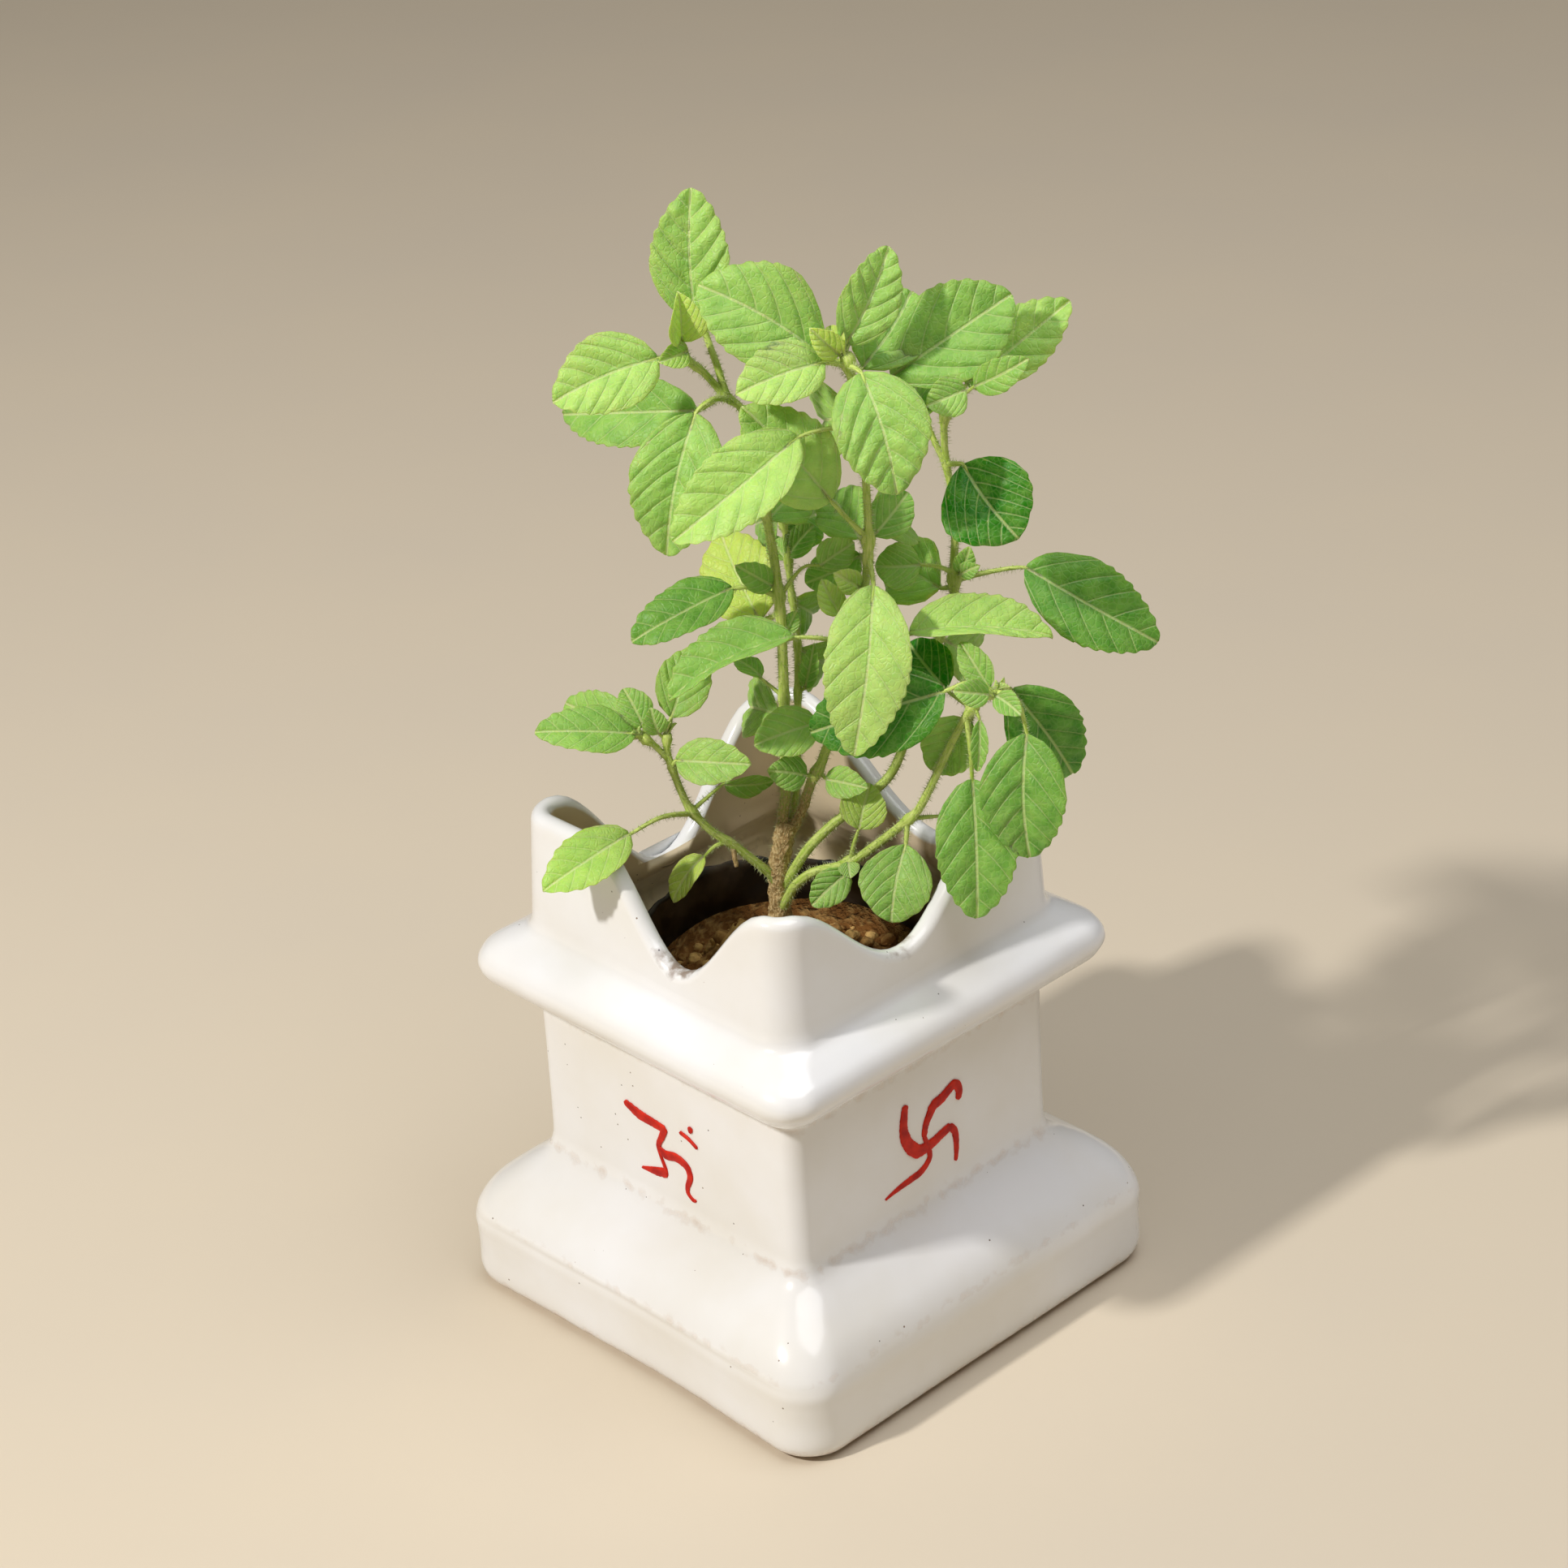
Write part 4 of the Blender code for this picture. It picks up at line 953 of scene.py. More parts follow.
BRANCH_LOWER_RIGHT = LeafyStem(
    name="branch_lower_right",
    main=Shoot(
        (
            At(961, 1124, 0), At(970, 1108, 3), At(981, 1090, 5), At(1002, 1075, 7), At(1034, 1067, 10),
            At(1055, 1058, 12), At(1085, 1037, 14), At(1114, 1014, 16), At(1130, 1000, 17), At(1144, 975, 18),
            At(1156, 950, 19), At(1178, 905, 20), At(1200, 870, 21), At(1223, 852, 21),
        ),
        1.4, 0.9,
    ),
    shoots=(),
    leaves=(
        # Painted shade: leaves here with a tone of 0.2 or less lay in shadow.
        Leaf(At(1166, 850, 13), At(1119, 791, 1), 15, node=At(1198, 872), tone=0.15),
        Leaf(
            At(1164, 852, 22), At(998, 903, 15), 24, roll=-8,
            node=At(1222, 851), via=At(1196, 841, 23), tone=0.2, puffed=0.6,
        ),
        Leaf(At(1219, 848, 20), At(1183, 791, 14), 9, node=At(1222, 852), fold=25),
        Leaf(At(1219, 856, 24), At(1175, 852, 27), 8, node=At(1222, 852), fold=20),
        Leaf(At(1227, 857, 23), At(1258, 881, 30), 7, node=At(1222, 852), fold=20),
        # Painted shade: a low tone for a leaf that lay in shadow.
        Leaf(At(1246, 850, 15), At(1322, 954, 8), 21, node=At(1222, 852), roll=-8, tone=0.2),
        Leaf(
            At(1265, 904, 28), At(1269, 1057, 34), 23, roll=4,
            node=At(1222, 852), via=At(1252, 862, 26), tone=0.35,
        ),
        Leaf(At(1196, 888, 17), At(1148, 950, 14), 16, node=At(1200, 872)),
        Leaf(At(1207, 887, 25), At(1204, 951, 28), 6, node=At(1202, 870), fold=40),
        Leaf(
            At(1198, 960, 26), At(1204, 1132, 36), 22, roll=-4,
            node=At(1193, 882), via=At(1196, 925, 24), tone=0.5, puffed=0.8,
        ),
        Leaf(
            At(1116, 1040, 19), At(1098, 1137, 28), 20, roll=4,
            node=At(1117, 1012), widest=0.5, tone=0.65, puffed=0.8,
        ),
        Leaf(At(1160, 1006, 16), At(1206, 1020, 12), 12, node=At(1122, 1008)),
        Leaf(At(1046, 1074, 12), At(1000, 1116, 15), 10, node=At(1050, 1062)),
        Leaf(At(1045, 1062, 13), At(1048, 1082, 17), 6, node=At(1046, 1064)),
        Leaf(
            At(1058, 1022, 13), At(1072, 965, 9), 13,
            node=At(1047, 1062), via=At(1052, 1040, 13), tone=0.7, yellow=0.25,
        ),
    ),
)

BRANCH_LOWER_LEFT = LeafyStem(
    name="branch_lower_left",
    main=Shoot(
        (
            At(960, 1094, 0), At(949, 1077, 1), At(927, 1059, 2), At(902, 1040, 3), At(877, 1024, 4),
            At(852, 999, 4), At(840, 977, 4), At(828, 946, 4), At(822, 925, 4), At(822, 904, 4),
        ),
        1.3, 0.9,
    ),
    shoots=(Shoot((At(824, 936, 4), At(806, 918, 5), At(790, 908, 6)), 0.9, 0.7),),
    leaves=(
        Leaf(At(827, 884, 2), At(862, 796, -9), 15, node=At(822, 908)),
        Leaf(At(783, 904, 7), At(659, 902, 12), 15, roll=32, node=At(793, 910), tone=0.6, puffed=0.5),
        Leaf(At(784, 898, -1), At(696, 866, -18), 14, node=At(796, 912), tone=0.6, puffed=0.5),
        Leaf(At(793, 896, 5), At(768, 848, 0), 10, node=At(796, 911)),
        Leaf(At(812, 905, 5), At(802, 873, 6), 7, node=At(820, 914)),
        Leaf(At(832, 937, 6), At(925, 942, 14), 13, roll=-8, node=At(827, 944), tone=0.7, puffed=0.5),
        Leaf(
            At(776, 1027, 16), At(669, 1098, 30), 16, roll=24,
            node=At(853, 1001), via=At(815, 1007, 11), tone=0.65, yellow=0.15, puffed=0.4,
        ),
        Leaf(
            At(867, 1054, 5), At(829, 1112, 9), 10, roll=44,
            node=At(897, 1038), via=At(882, 1042, 5), tone=0.5, yellow=0.45, puffed=0.4,
        ),
        Leaf(At(893, 967, -3), At(955, 962, -8), 9, roll=50, node=At(853, 998), via=At(872, 982, 1)),
    ),
)

LEAFY_STEMS = (STEM_LEFT, STEM_BACK, STEM_CENTRE, STEM_RIGHT, BRANCH_LOWER_RIGHT, BRANCH_LOWER_LEFT)

DRY_STUB = Shoot((At(902, 1041, 3), At(905, 1054, 4), At(907, 1068, 5)), 0.9, 0.6)


def tube(surface: Surface, points: np.ndarray, radii: np.ndarray, sides: int, skin: int,
         woody: Optional[np.ndarray] = None, rough: float = 0.0) -> None:
    """Adds a closed round tube along points.

    Args:
        surface: What the tube is added to.
        points: Its middle line.
        radii: Its radius at each point.
        sides: How many sides it has.
        skin: Its material index.
        woody: How barky each point is, from 0 to 1.
        rough: How far its skin wanders, in millimetres, where it is barky.
    """
    _, sides_at, others_at = ring_frames(points)
    turns = np.arange(sides) * 2 * math.pi / sides
    runs = run_lengths(points)
    bark = np.zeros(len(points)) if woody is None else woody
    east, north = np.cos(turns)[None, :, None], np.sin(turns)[None, :, None]
    round_ways = east * sides_at[:, None] + north * others_at[:, None]
    skin_points = points[:, None] + radii[:, None, None] * round_ways
    if rough:
        for row in range(len(points)):
            for side in range(sides):
                spot = Vector(skin_points[row, side]) * 0.55
                wander = noise.noise(spot) + 0.5 * noise.noise(spot * 2.3)
                skin_points[row, side] += round_ways[row, side] * wander * rough * bark[row]
    place = np.zeros((len(points), sides, 3))
    place[..., 0] = np.abs(turns - math.pi)[None, :] * radii[:, None]
    place[..., 1] = runs[:, None]
    look = np.zeros((len(points), sides, 3))
    look[..., 0] = bark[:, None]
    faces = lidded_faces(len(points), sides)
    surface.put(skin_points.reshape(-1, 3), faces, skin, place.reshape(-1, 3), look.reshape(-1, 3))


def hairs(
    surface: Surface, points: np.ndarray, radii: np.ndarray, a_millimetre: float, draw: random.Random
) -> None:
    """Adds fine three-sided hairs that stand out of a stem.

    Args:
        surface: What the hairs are added to.
        points: The stem's middle line.
        radii: Its radius at each point.
        a_millimetre: How many hairs grow along a millimetre.
        draw: The seeded draw.
    """
    ways, sides_at, others_at = ring_frames(points)
    runs = run_lengths(points)
    for _ in range(int(runs[-1] * a_millimetre)):
        run = draw.uniform(0, runs[-1])
        row = min(int(np.searchsorted(runs, run)), len(points) - 1)
        middle = np.array([np.interp(run, runs, points[:, axis]) for axis in range(3)])
        turn = draw.uniform(0, 2 * math.pi)
        out = sides_at[row] * math.cos(turn) + others_at[row] * math.sin(turn)
        cross = np.cross(ways[row], out)
        length = draw.uniform(*HAIR_LENGTHS)
        lean = unit(out + ways[row] * draw.uniform(-0.35, 0.15) + cross * draw.uniform(-0.3, 0.3))
        foot = middle + out * radii[row] * 0.92
        corners = [
            foot + cross * HAIR_BREADTH,
            foot - cross * HAIR_BREADTH * 0.5 + ways[row] * HAIR_BREADTH,
            foot - cross * HAIR_BREADTH * 0.5 - ways[row] * HAIR_BREADTH,
            foot + lean * length,
        ]
        surface.put(np.array(corners), [(0, 1, 3), (1, 2, 3), (2, 0, 3), (0, 2, 1)], Skin.HAIR.value)


class Blade:
    """The shape of one leaf: its frame in space, its outline, its veins and its puffs."""

    PAIRS = 5.0
    LANES = 19
    LEAST_ROWS = 32
    ROW_MM = 0.72
    FULLNESS = 0.62
    TOOTH_MM = 3.4
    TOOTH_MOST = 0.55
    TOOTH_SHARE = 0.016
    PUFF = 0.56
    DIMPLE = 0.24
    GROOVE = 0.3
    MARGIN_WAVE = 0.55
    VEIN_LEAN = 0.8
    VEIN_CURVE = 1.5
    ROOT_SHARE = 0.12

    def __init__(self, leaf: Leaf, draw: random.Random) -> None:
        """Works out the leaf's frame.

        Args:
            leaf: How the leaf is held.
            draw: The seeded draw.
        """
        self.leaf = leaf
        self.base, tip = seen(leaf.base), seen(leaf.tip)
        self.length = float(np.linalg.norm(tip - self.base))
        self.along = (tip - self.base) / self.length
        facing = unit(CAMERA_MM - self.base)
        facing = unit(facing - self.along * (facing @ self.along))
        side = np.cross(self.along, facing)
        roll = math.radians(leaf.roll)
        self.facing = facing * math.cos(roll) + side * math.sin(roll)
        self.side = side * math.cos(roll) - facing * math.sin(roll)
        self.fold = math.radians(leaf.fold)
        self.teeth = max(5, round(self.length / self.TOOTH_MM))
        self.phase = draw.uniform(0, 6.28)
        self.tone = min(1.0, max(0.0, leaf.tone + draw.uniform(-0.12, 0.12)))
        self.sway = draw.uniform(-0.035, 0.035)

    def half_breadth(self, share: np.ndarray) -> np.ndarray:
        """The half breadth at a share of the length, before its teeth."""
        power = math.log(0.5) / math.log(self.leaf.widest)
        return self.leaf.width / 2 * np.sin(math.pi * np.clip(share, 0.0, 1.0) ** power) ** self.FULLNESS

    def surface(self) -> tuple[np.ndarray, ...]:
        """The grid of the upper side.

        Returns:
            Upper points, under points, and along and across in millimetres, as grids.
        """
        rows = max(self.LEAST_ROWS, int(self.length / self.ROW_MM))
        share = np.linspace(0.003, 0.997, rows)[:, None]
        crowding = math.pi / 2 * 0.92
        lane = np.sin(np.linspace(-1, 1, self.LANES) * crowding)[None, :] / math.sin(crowding)
        slender = min(1.0, max(0.0, (self.length / self.leaf.width - 0.65) / 0.7))
        sweep = slender * np.minimum(1.0, share / 0.16) * np.sqrt(1 - share)
        run = share * self.length + 0.0 * lane
        for _ in range(6):
            off = np.abs(lane) * self.half_breadth(run / self.length)
            back = self.VEIN_LEAN * off + self.VEIN_CURVE * off * off / self.length
            run = share * self.length + sweep * back
        share = run / self.length
        half = self.half_breadth(share)
        step = share * self.teeth + 0.12 * np.sign(lane)
        tooth = np.sin(math.pi * (step % 1.0) ** 1.7) - 0.45
        depth = min(self.TOOTH_MOST, self.length * self.TOOTH_SHARE) * np.minimum(1.0, half / 2.5)
        margin = np.abs(lane) ** 7
        out = lane * half + np.sign(lane) * tooth * depth * margin
        run = share * self.length + tooth * 0.35 * depth * margin
        off = np.abs(out)
        gap = self.length / self.PAIRS
        part = off / self.length
        back = (part * self.VEIN_LEAN + part * part * self.VEIN_CURVE) * self.length
        count = (run - back) / gap + 0.2 * np.sign(out)
        miss = np.abs(count - np.round(count)) * gap * 0.8
        size = min(1.0, self.leaf.width / 18)
        puff = (1 - np.exp(-((miss / 0.8) ** 2))) * np.minimum(1.0, off / 1.6) * (1 - 0.6 * margin)
        crossing = off / 2.7 + 0.37 * np.round(count) + self.phase
        dimple = np.exp(-(((crossing - np.round(crossing)) / 0.13) ** 2)) * np.minimum(1.0, miss / 0.5)
        groove = np.exp(-((off / 0.5) ** 2))
        ripple = np.sin(run * 0.9 + self.phase) * np.sin(off * 0.8 + self.phase * 2) * 0.3
        wave = np.sin(share * 9.5 + self.phase + 1.6 * np.sign(out)) * self.MARGIN_WAVE * np.abs(lane) ** 2.5
        bow = 4 * self.leaf.arch * share * (1 - share) * self.length
        lift = off * math.sin(self.fold) - 0.10 * half * np.abs(lane) ** 3
        blister = puff * (self.PUFF - self.DIMPLE * dimple + ripple) * self.leaf.puffed
        relief = (blister - groove * self.GROOVE + wave) * size
        height = bow + lift + relief
        drift = self.sway * self.length * np.sin(math.pi * share)
        upper = (self.base + run[..., None] * self.along + height[..., None] * self.facing
                 + (out * math.cos(self.fold) + drift)[..., None] * self.side)
        rib = 0.55 * np.exp(-((off / 0.42) ** 2)) * (1 - 0.75 * share)
        cord = 0.16 * np.exp(-((miss / 0.3) ** 2)) * (1 - margin)
        thick = (0.14 + 0.2 * (1 - margin) + (rib + cord) * size) / math.cos(self.fold)
        under = upper - thick[..., None] * self.facing
        return upper, under, run, out

    def root(self) -> np.ndarray:
        """The point on the midrib where the stalk runs out.

        Returns:
            The point in millimetres.
        """
        share = self.ROOT_SHARE
        bow = 4 * self.leaf.arch * share * (1 - share) * self.length
        return self.base + self.along * self.length * share + self.facing * (bow - 0.55)

    def put(self, surface: Surface) -> None:
        """Adds the blade, as a thin closed solid.

        Args:
            surface: What it is added to.
        """
        upper, under, run, out = self.surface()
        place = np.stack([run, out, np.zeros_like(run)], -1).reshape(-1, 3)
        below = place + np.array((0.0, 0.0, 1.0))
        look = np.tile((self.length, self.tone, self.leaf.yellow), (2 * len(place), 1))
        closed_sheet(surface, upper, under, Skin.LEAF.value, np.vstack([place, below]), look)


@dataclass
class Plant:
    """The plant: its woody trunk and six leafy stems, with stalks, leaves, buds and hairs."""

    stalk_radius: float = 0.72
    stem_sides: int = 12
    stalk_sides: int = 8
    hairs_a_millimetre: float = 18.0
    bark_top: float = 168.0
    leaf: BasilLeafFinish = BasilLeafFinish()
    stem: StemFinish = StemFinish()
    hair: HairFinish = HairFinish()

    def materials(self) -> list[bpy.types.Material]:
        """The plant's finishes, in the order of Skin."""
        return [self.leaf.make(), self.stem.make(), self.hair.make()]

    def woody(self, points: np.ndarray) -> np.ndarray:
        """How barky a stem is by its height: all bark at the soil, green above the pot."""
        return np.clip((self.bark_top - points[:, 2]) / 26.0, 0.0, 1.0)

    def shoot(self, surface: Surface, shoot: Shoot, draw: random.Random, knots: Sequence[np.ndarray],
              barky: float = 0.0) -> np.ndarray:
        """Adds one stem or side shoot with its swollen nodes and its hairs.

        Args:
            surface: What the shoot is added to.
            shoot: Its route and radii.
            draw: The seeded draw.
            knots: The points where leaves leave it, where it swells.
            barky: The most bark it carries, from 0 to 1.

        Returns:
            Its middle line.
        """
        line = shoot.line(1.6)
        radii = shoot.radii(line)
        for knot in knots:
            near = np.linalg.norm(line - knot, axis=1)
            radii = radii + 0.32 * np.exp(-((near / 1.5) ** 2))
        woody = self.woody(line) * barky
        tube(surface, line, radii, self.stem_sides, Skin.STEM.value, woody, 0.5)
        hairs(surface, line, radii, self.hairs_a_millimetre, draw)
        return line

    def stalk(
        self, surface: Surface, leaf: Leaf, blade: Blade, start: np.ndarray, draw: random.Random
    ) -> None:
        """Adds a leaf's stalk, from inside the stem to a little way up the midrib.

        Args:
            surface: What it is added to.
            leaf: The leaf and its way to the stem.
            blade: The leaf's shape.
            start: The point inside the stem where it starts.
            draw: The seeded draw.
        """
        knots = [start, blade.base - blade.facing * 0.5, blade.root()]
        if leaf.via:
            knots.insert(1, seen(leaf.via))
        points = smooth_curve(knots, 1.2)
        slim = min(1.0, 0.55 + leaf.width / 40)
        radii = np.linspace(self.stalk_radius * 1.2, self.stalk_radius * 0.55, len(points)) * slim
        tube(surface, points, radii, self.stalk_sides, Skin.STEM.value)
        hairs(surface, points, radii, self.hairs_a_millimetre * 0.6, draw)

    def young_tip(self, surface: Surface, line: np.ndarray, draw: random.Random) -> None:
        """Adds the four small leaves, still folded, that close a shoot's tip.

        Args:
            surface: What they are added to.
            line: The shoot's middle line.
            draw: The seeded draw.
        """
        way = unit(line[-1] - line[-3])
        _, sides_at, others_at = ring_frames(line[-3:])
        for turn in range(4):
            angle = turn * math.pi / 2 + 0.4
            out = sides_at[-1] * math.cos(angle) + others_at[-1] * math.sin(angle)
            reach = draw.uniform(3.0, 4.6) if turn % 2 else draw.uniform(4.2, 6.0)
            unfolding = Leaf(At(0, 0), At(0, 1), reach * 0.5, fold=38, arch=0.1, tone=0.8, yellow=0.45)
            small = Blade(unfolding, draw)
            small.base = line[-1] - way * 0.6
            small.length = reach
            small.along = unit(way + out * (0.35 + 0.35 * (turn % 2)))
            small.side = unit(np.cross(small.along, unit(way - out)))
            small.facing = np.cross(small.side, small.along)
            small.teeth = 5
            small.put(surface)

    def build(self, stem: LeafyStem, materials: Sequence[bpy.types.Material]) -> bpy.types.Object:
        """Builds one leafy stem as one piece.

        Args:
            stem: Its routes and leaves.
            materials: The plant's finishes.

        Returns:
            The piece.
        """
        draw = random.Random(f"{SEED} {stem.name}")
        surface = Surface()
        cores = np.vstack([shoot.line(1.0) for shoot in (stem.main, *stem.shoots)])
        starts = [self.nearest(cores, leaf.node) for leaf in stem.leaves if leaf.node]
        for number, shoot in enumerate((stem.main, *stem.shoots)):
            line = self.shoot(surface, shoot, draw, starts, 0.0 if number else stem.barky)
            self.young_tip(surface, line, draw)
        for leaf in stem.leaves:
            blade = Blade(leaf, draw)
            blade.put(surface)
            if leaf.node:
                self.stalk(surface, leaf, blade, self.nearest(cores, leaf.node), draw)
        piece = surface.make(f"leafy_{stem.name}", materials)
        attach(piece, "root")
        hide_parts(stem.name)
        LOG.info("%s: %d faces", piece.name, len(surface.faces))
        return piece

    @staticmethod
    def nearest(points: np.ndarray, at: At) -> np.ndarray:
        """The point of a line that shows nearest to a pixel.

        Args:
            points: The line's points in millimetres.
            at: The pixel.

        Returns:
            One of the line's points.
        """
        line = unit(sight_line(at.px, at.py))
        rays = points - CAMERA_MM
        off = rays - np.outer(rays @ line, line)
        return points[np.argmin(np.linalg.norm(off, axis=1))]

    def trunk(self, materials: Sequence[bpy.types.Material]) -> bpy.types.Object:
        """Builds the woody trunk, from in the soil to its fork, with a swollen ring low down and a dry stub.

        Args:
            materials: The plant's finishes.

        Returns:
            The piece.
        """
        draw = random.Random(f"{SEED} trunk")
        surface = Surface()
        line = TRUNK.line(0.9)
        radii = TRUNK.radii(line) + 0.8 * np.exp(-(((line[:, 2] - 110.0) / 4.0) ** 2))
        tube(surface, line, radii, 22, Skin.STEM.value, np.ones(len(line)), 0.75)
        hairs(surface, line[len(line) // 2 :], radii[len(line) // 2 :], 5.0, draw)
        dry = DRY_STUB.line(1.0)
        slim = np.linspace(DRY_STUB.foot_radius, DRY_STUB.top_radius, len(dry))
        tube(surface, dry, slim, 8, Skin.STEM.value, np.full(len(dry), 0.9), 0.3)
        piece = surface.make("woody_trunk", materials)
        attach(piece, "root")
        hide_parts("trunk")
        LOG.info("woody_trunk: %d faces", len(surface.faces))
        return piece


@dataclass(frozen=True)
class RimDip:
    """The hollow in the rim between two horns, along one side of the pot."""

    centre: float
    low_z: float
    reach_back: float
    reach_on: float


@dataclass(frozen=True)
class Crease:
    """A level of the pot where tan stain and painted shade gather: its height, its spread and its strength.
    """

    z: float
    spread: float
    strength: float


# Tan stain and painted shade under the cornice, at the waist's foot, on the plinth and along the foot.
CREASES = (
    Crease(93.8, 2.0, 1.1),
    Crease(89.0, 2.6, 0.6),
    Crease(44.5, 2.4, 0.6),
    Crease(25.0, 2.0, 0.5),
    Crease(0.0, 4.5, 1.0),
)


@dataclass(frozen=True)
class Stroke:
    """One brush stroke on a flat wall: its points in the photograph, and its breadth at each."""

    points: tuple[tuple[float, float], ...]
    breadths: tuple[float, ...]


@dataclass
class Pot:
    """The footed square pot: plinth, waist, cornice and a wall that rises to four horns."""

    plinth_half: float = 70.0
    plinth_corner: float = 13.0
    waist_half: float = 50.4
    waist_corner: float = 5.5
    cornice_half: float = 63.5
    cornice_corner: float = 10.5
    upper_foot_half: float = 52.0
    upper_top_half: float = 50.4
    upper_corner: float = 10.0
    upper_foot_z: float = 117.0
    horn_z: float = 149.5
    wall: float = 5.5
    floor_z: float = 6.0
    seams: tuple[float, float] = (93.0, 94.8)
    columns_a_side: int = 26
    seam_depth: float = 0.32
    waist_drawn_in: float = 2.6
    foot_bow: float = 2.6
    swell: float = 0.45
    ripple: float = 0.28
    columns_a_corner: int = 10
    lip_rows: int = 24
    brush_spread: float = 1.36
    paint_high: float = 0.16
    paint_sunk: float = 0.25
    glaze: GlazedClayFinish = GlazedClayFinish()
    paint: RedPaintFinish = RedPaintFinish()

    def dips(self) -> dict[Side, RimDip]:
        """The hollow in the rim on each side.

        Returns:
            The hollow of each side.
        """
        return {
            Side.FRONT: RimDip(10.0, 122.6, 32.0, 33.0),
            Side.RIGHT: RimDip(-6.0, 125.0, 39.0, 37.0),
            Side.BACK: RimDip(8.0, 121.0, 50.0, 35.0),
            Side.LEFT: RimDip(0.0, 114.5, 41.0, 36.0),
        }

    def outside(self) -> list[tuple[float, float, float]]:
        """Height, half width and corner radius up the outside, below the upper wall.

        Returns:
            One row for each level, from the foot up.
        """
        plinth, waist = self.plinth_half, self.waist_half
        cornice, upper = self.cornice_half, self.upper_foot_half
        low, mid, high = self.plinth_corner, self.waist_corner, self.cornice_corner
        return [
            (0.0, plinth - 3.4, low - 1.5), (1.8, plinth - 1.0, low), (5.0, plinth, low),
            (12.0, plinth - 0.15, low), (18.0, plinth - 0.1, low), (21.0, plinth, low),
            (25.5, plinth - 1.2, low),
            (31.0, plinth - 4.6, low - 1.0), (37.0, plinth - 11.0, low - 3.0), (42.0, waist + 2.6, mid + 1.5),
            (46.0, waist + 0.5, mid), (52.0, waist + 0.1, mid), (70.0, waist, mid), (86.0, waist, mid),
            (89.5, waist + 0.2, mid), (92.5, waist + 2.4, mid + 1.0), (96.0, cornice - 5.8, high - 3.5),
            (99.5, cornice - 1.8, high - 1.0), (103.5, cornice, high), (107.5, cornice - 1.4, high),
            (110.5, cornice - 5.5, high - 1.5), (113.5, upper + 1.2, self.upper_corner),
            (self.upper_foot_z, upper, self.upper_corner),
        ]

    def inside(self) -> list[tuple[float, float, float]]:
        """Height, half width and corner radius down the inside, below the rim.

        Returns:
            One row for each level, from the rim down.
        """
        plinth, waist, upper = self.plinth_half, self.waist_half, self.upper_foot_half
        return [
            (113.0, upper - self.wall, 4.0), (103.0, upper - 1.0, 6.0), (92.0, waist - self.wall, 3.0),
            (45.0, waist - self.wall, 3.0), (38.0, waist - 2.0, 4.0), (31.0, plinth - 13.0, 7.0),
            (16.0, plinth - self.wall, 8.0), (self.floor_z, plinth - self.wall - 2.0, 7.0),
        ]

    def rounded_square(self, half: float, corner: float) -> list[tuple[float, float]]:
        """Points round a square with round corners, always the same number of them.

        Args:
            half: Half its width.
            corner: The radius of its corners.

        Returns:
            The points, anticlockwise from above.
        """
        points = []
        straight = half - corner
        for quarter in range(4):
            east, north = math.cos(quarter * math.pi / 2), math.sin(quarter * math.pi / 2)
            gaps = self.columns_a_side
            outline = [(half, straight * (2 * step / gaps - 1)) for step in range(gaps)]
            for step in range(self.columns_a_corner):
                bend = math.pi / 2 * step / self.columns_a_corner
                outline.append((straight + corner * math.cos(bend), straight + corner * math.sin(bend)))
            points += [(x * east - y * north, x * north + y * east) for x, y in outline]
        return points

    def rim_height(self, x: float, y: float) -> float:
        """The height of the wavy rim above a point of the wall.

        Args:
            x: The point's place from side to side.
            y: Its place from front to back.

        Returns:
            The height in millimetres.
        """
        heights = []
        dips = self.dips()
        beside = dips[Side.RIGHT if x > 0 else Side.LEFT]
        ahead = dips[Side.BACK if y > 0 else Side.FRONT]
        for dip, place in ((beside, y), (ahead, x)):
            off = place - dip.centre
            share = min(1.0, abs(off) / (dip.reach_on if off > 0 else dip.reach_back))
            heights.append(dip.low_z + (self.horn_z - dip.low_z) * math.sin(share * math.pi / 2) ** 2)
        return min(heights)

    def upper_row(self, share: float, inset: float, below: float) -> np.ndarray:
        """A row of the upper wall at a share of the way up to the rim, inset from the outside.

        Args:
            share: The share of the way up, from 0 to 1.
            inset: How far in from the outside it lies.
            below: How far below the rim the way up ends.

        Returns:
            The points of the row.
        """
        row = []
        for column, (x, y) in enumerate(self.rounded_square(self.upper_top_half, self.upper_corner)):
            z = self.upper_foot_z + (self.rim_height(x, y) - below - self.upper_foot_z) * share
            lean = (z - self.upper_foot_z) / (self.horn_z - self.upper_foot_z)
            half = self.upper_foot_half + (self.upper_top_half - self.upper_foot_half) * lean - inset
            corner = max(self.upper_corner - inset, 3.0)
            row.append((*self.rounded_square(half, corner)[column], z))
        return np.array(row)

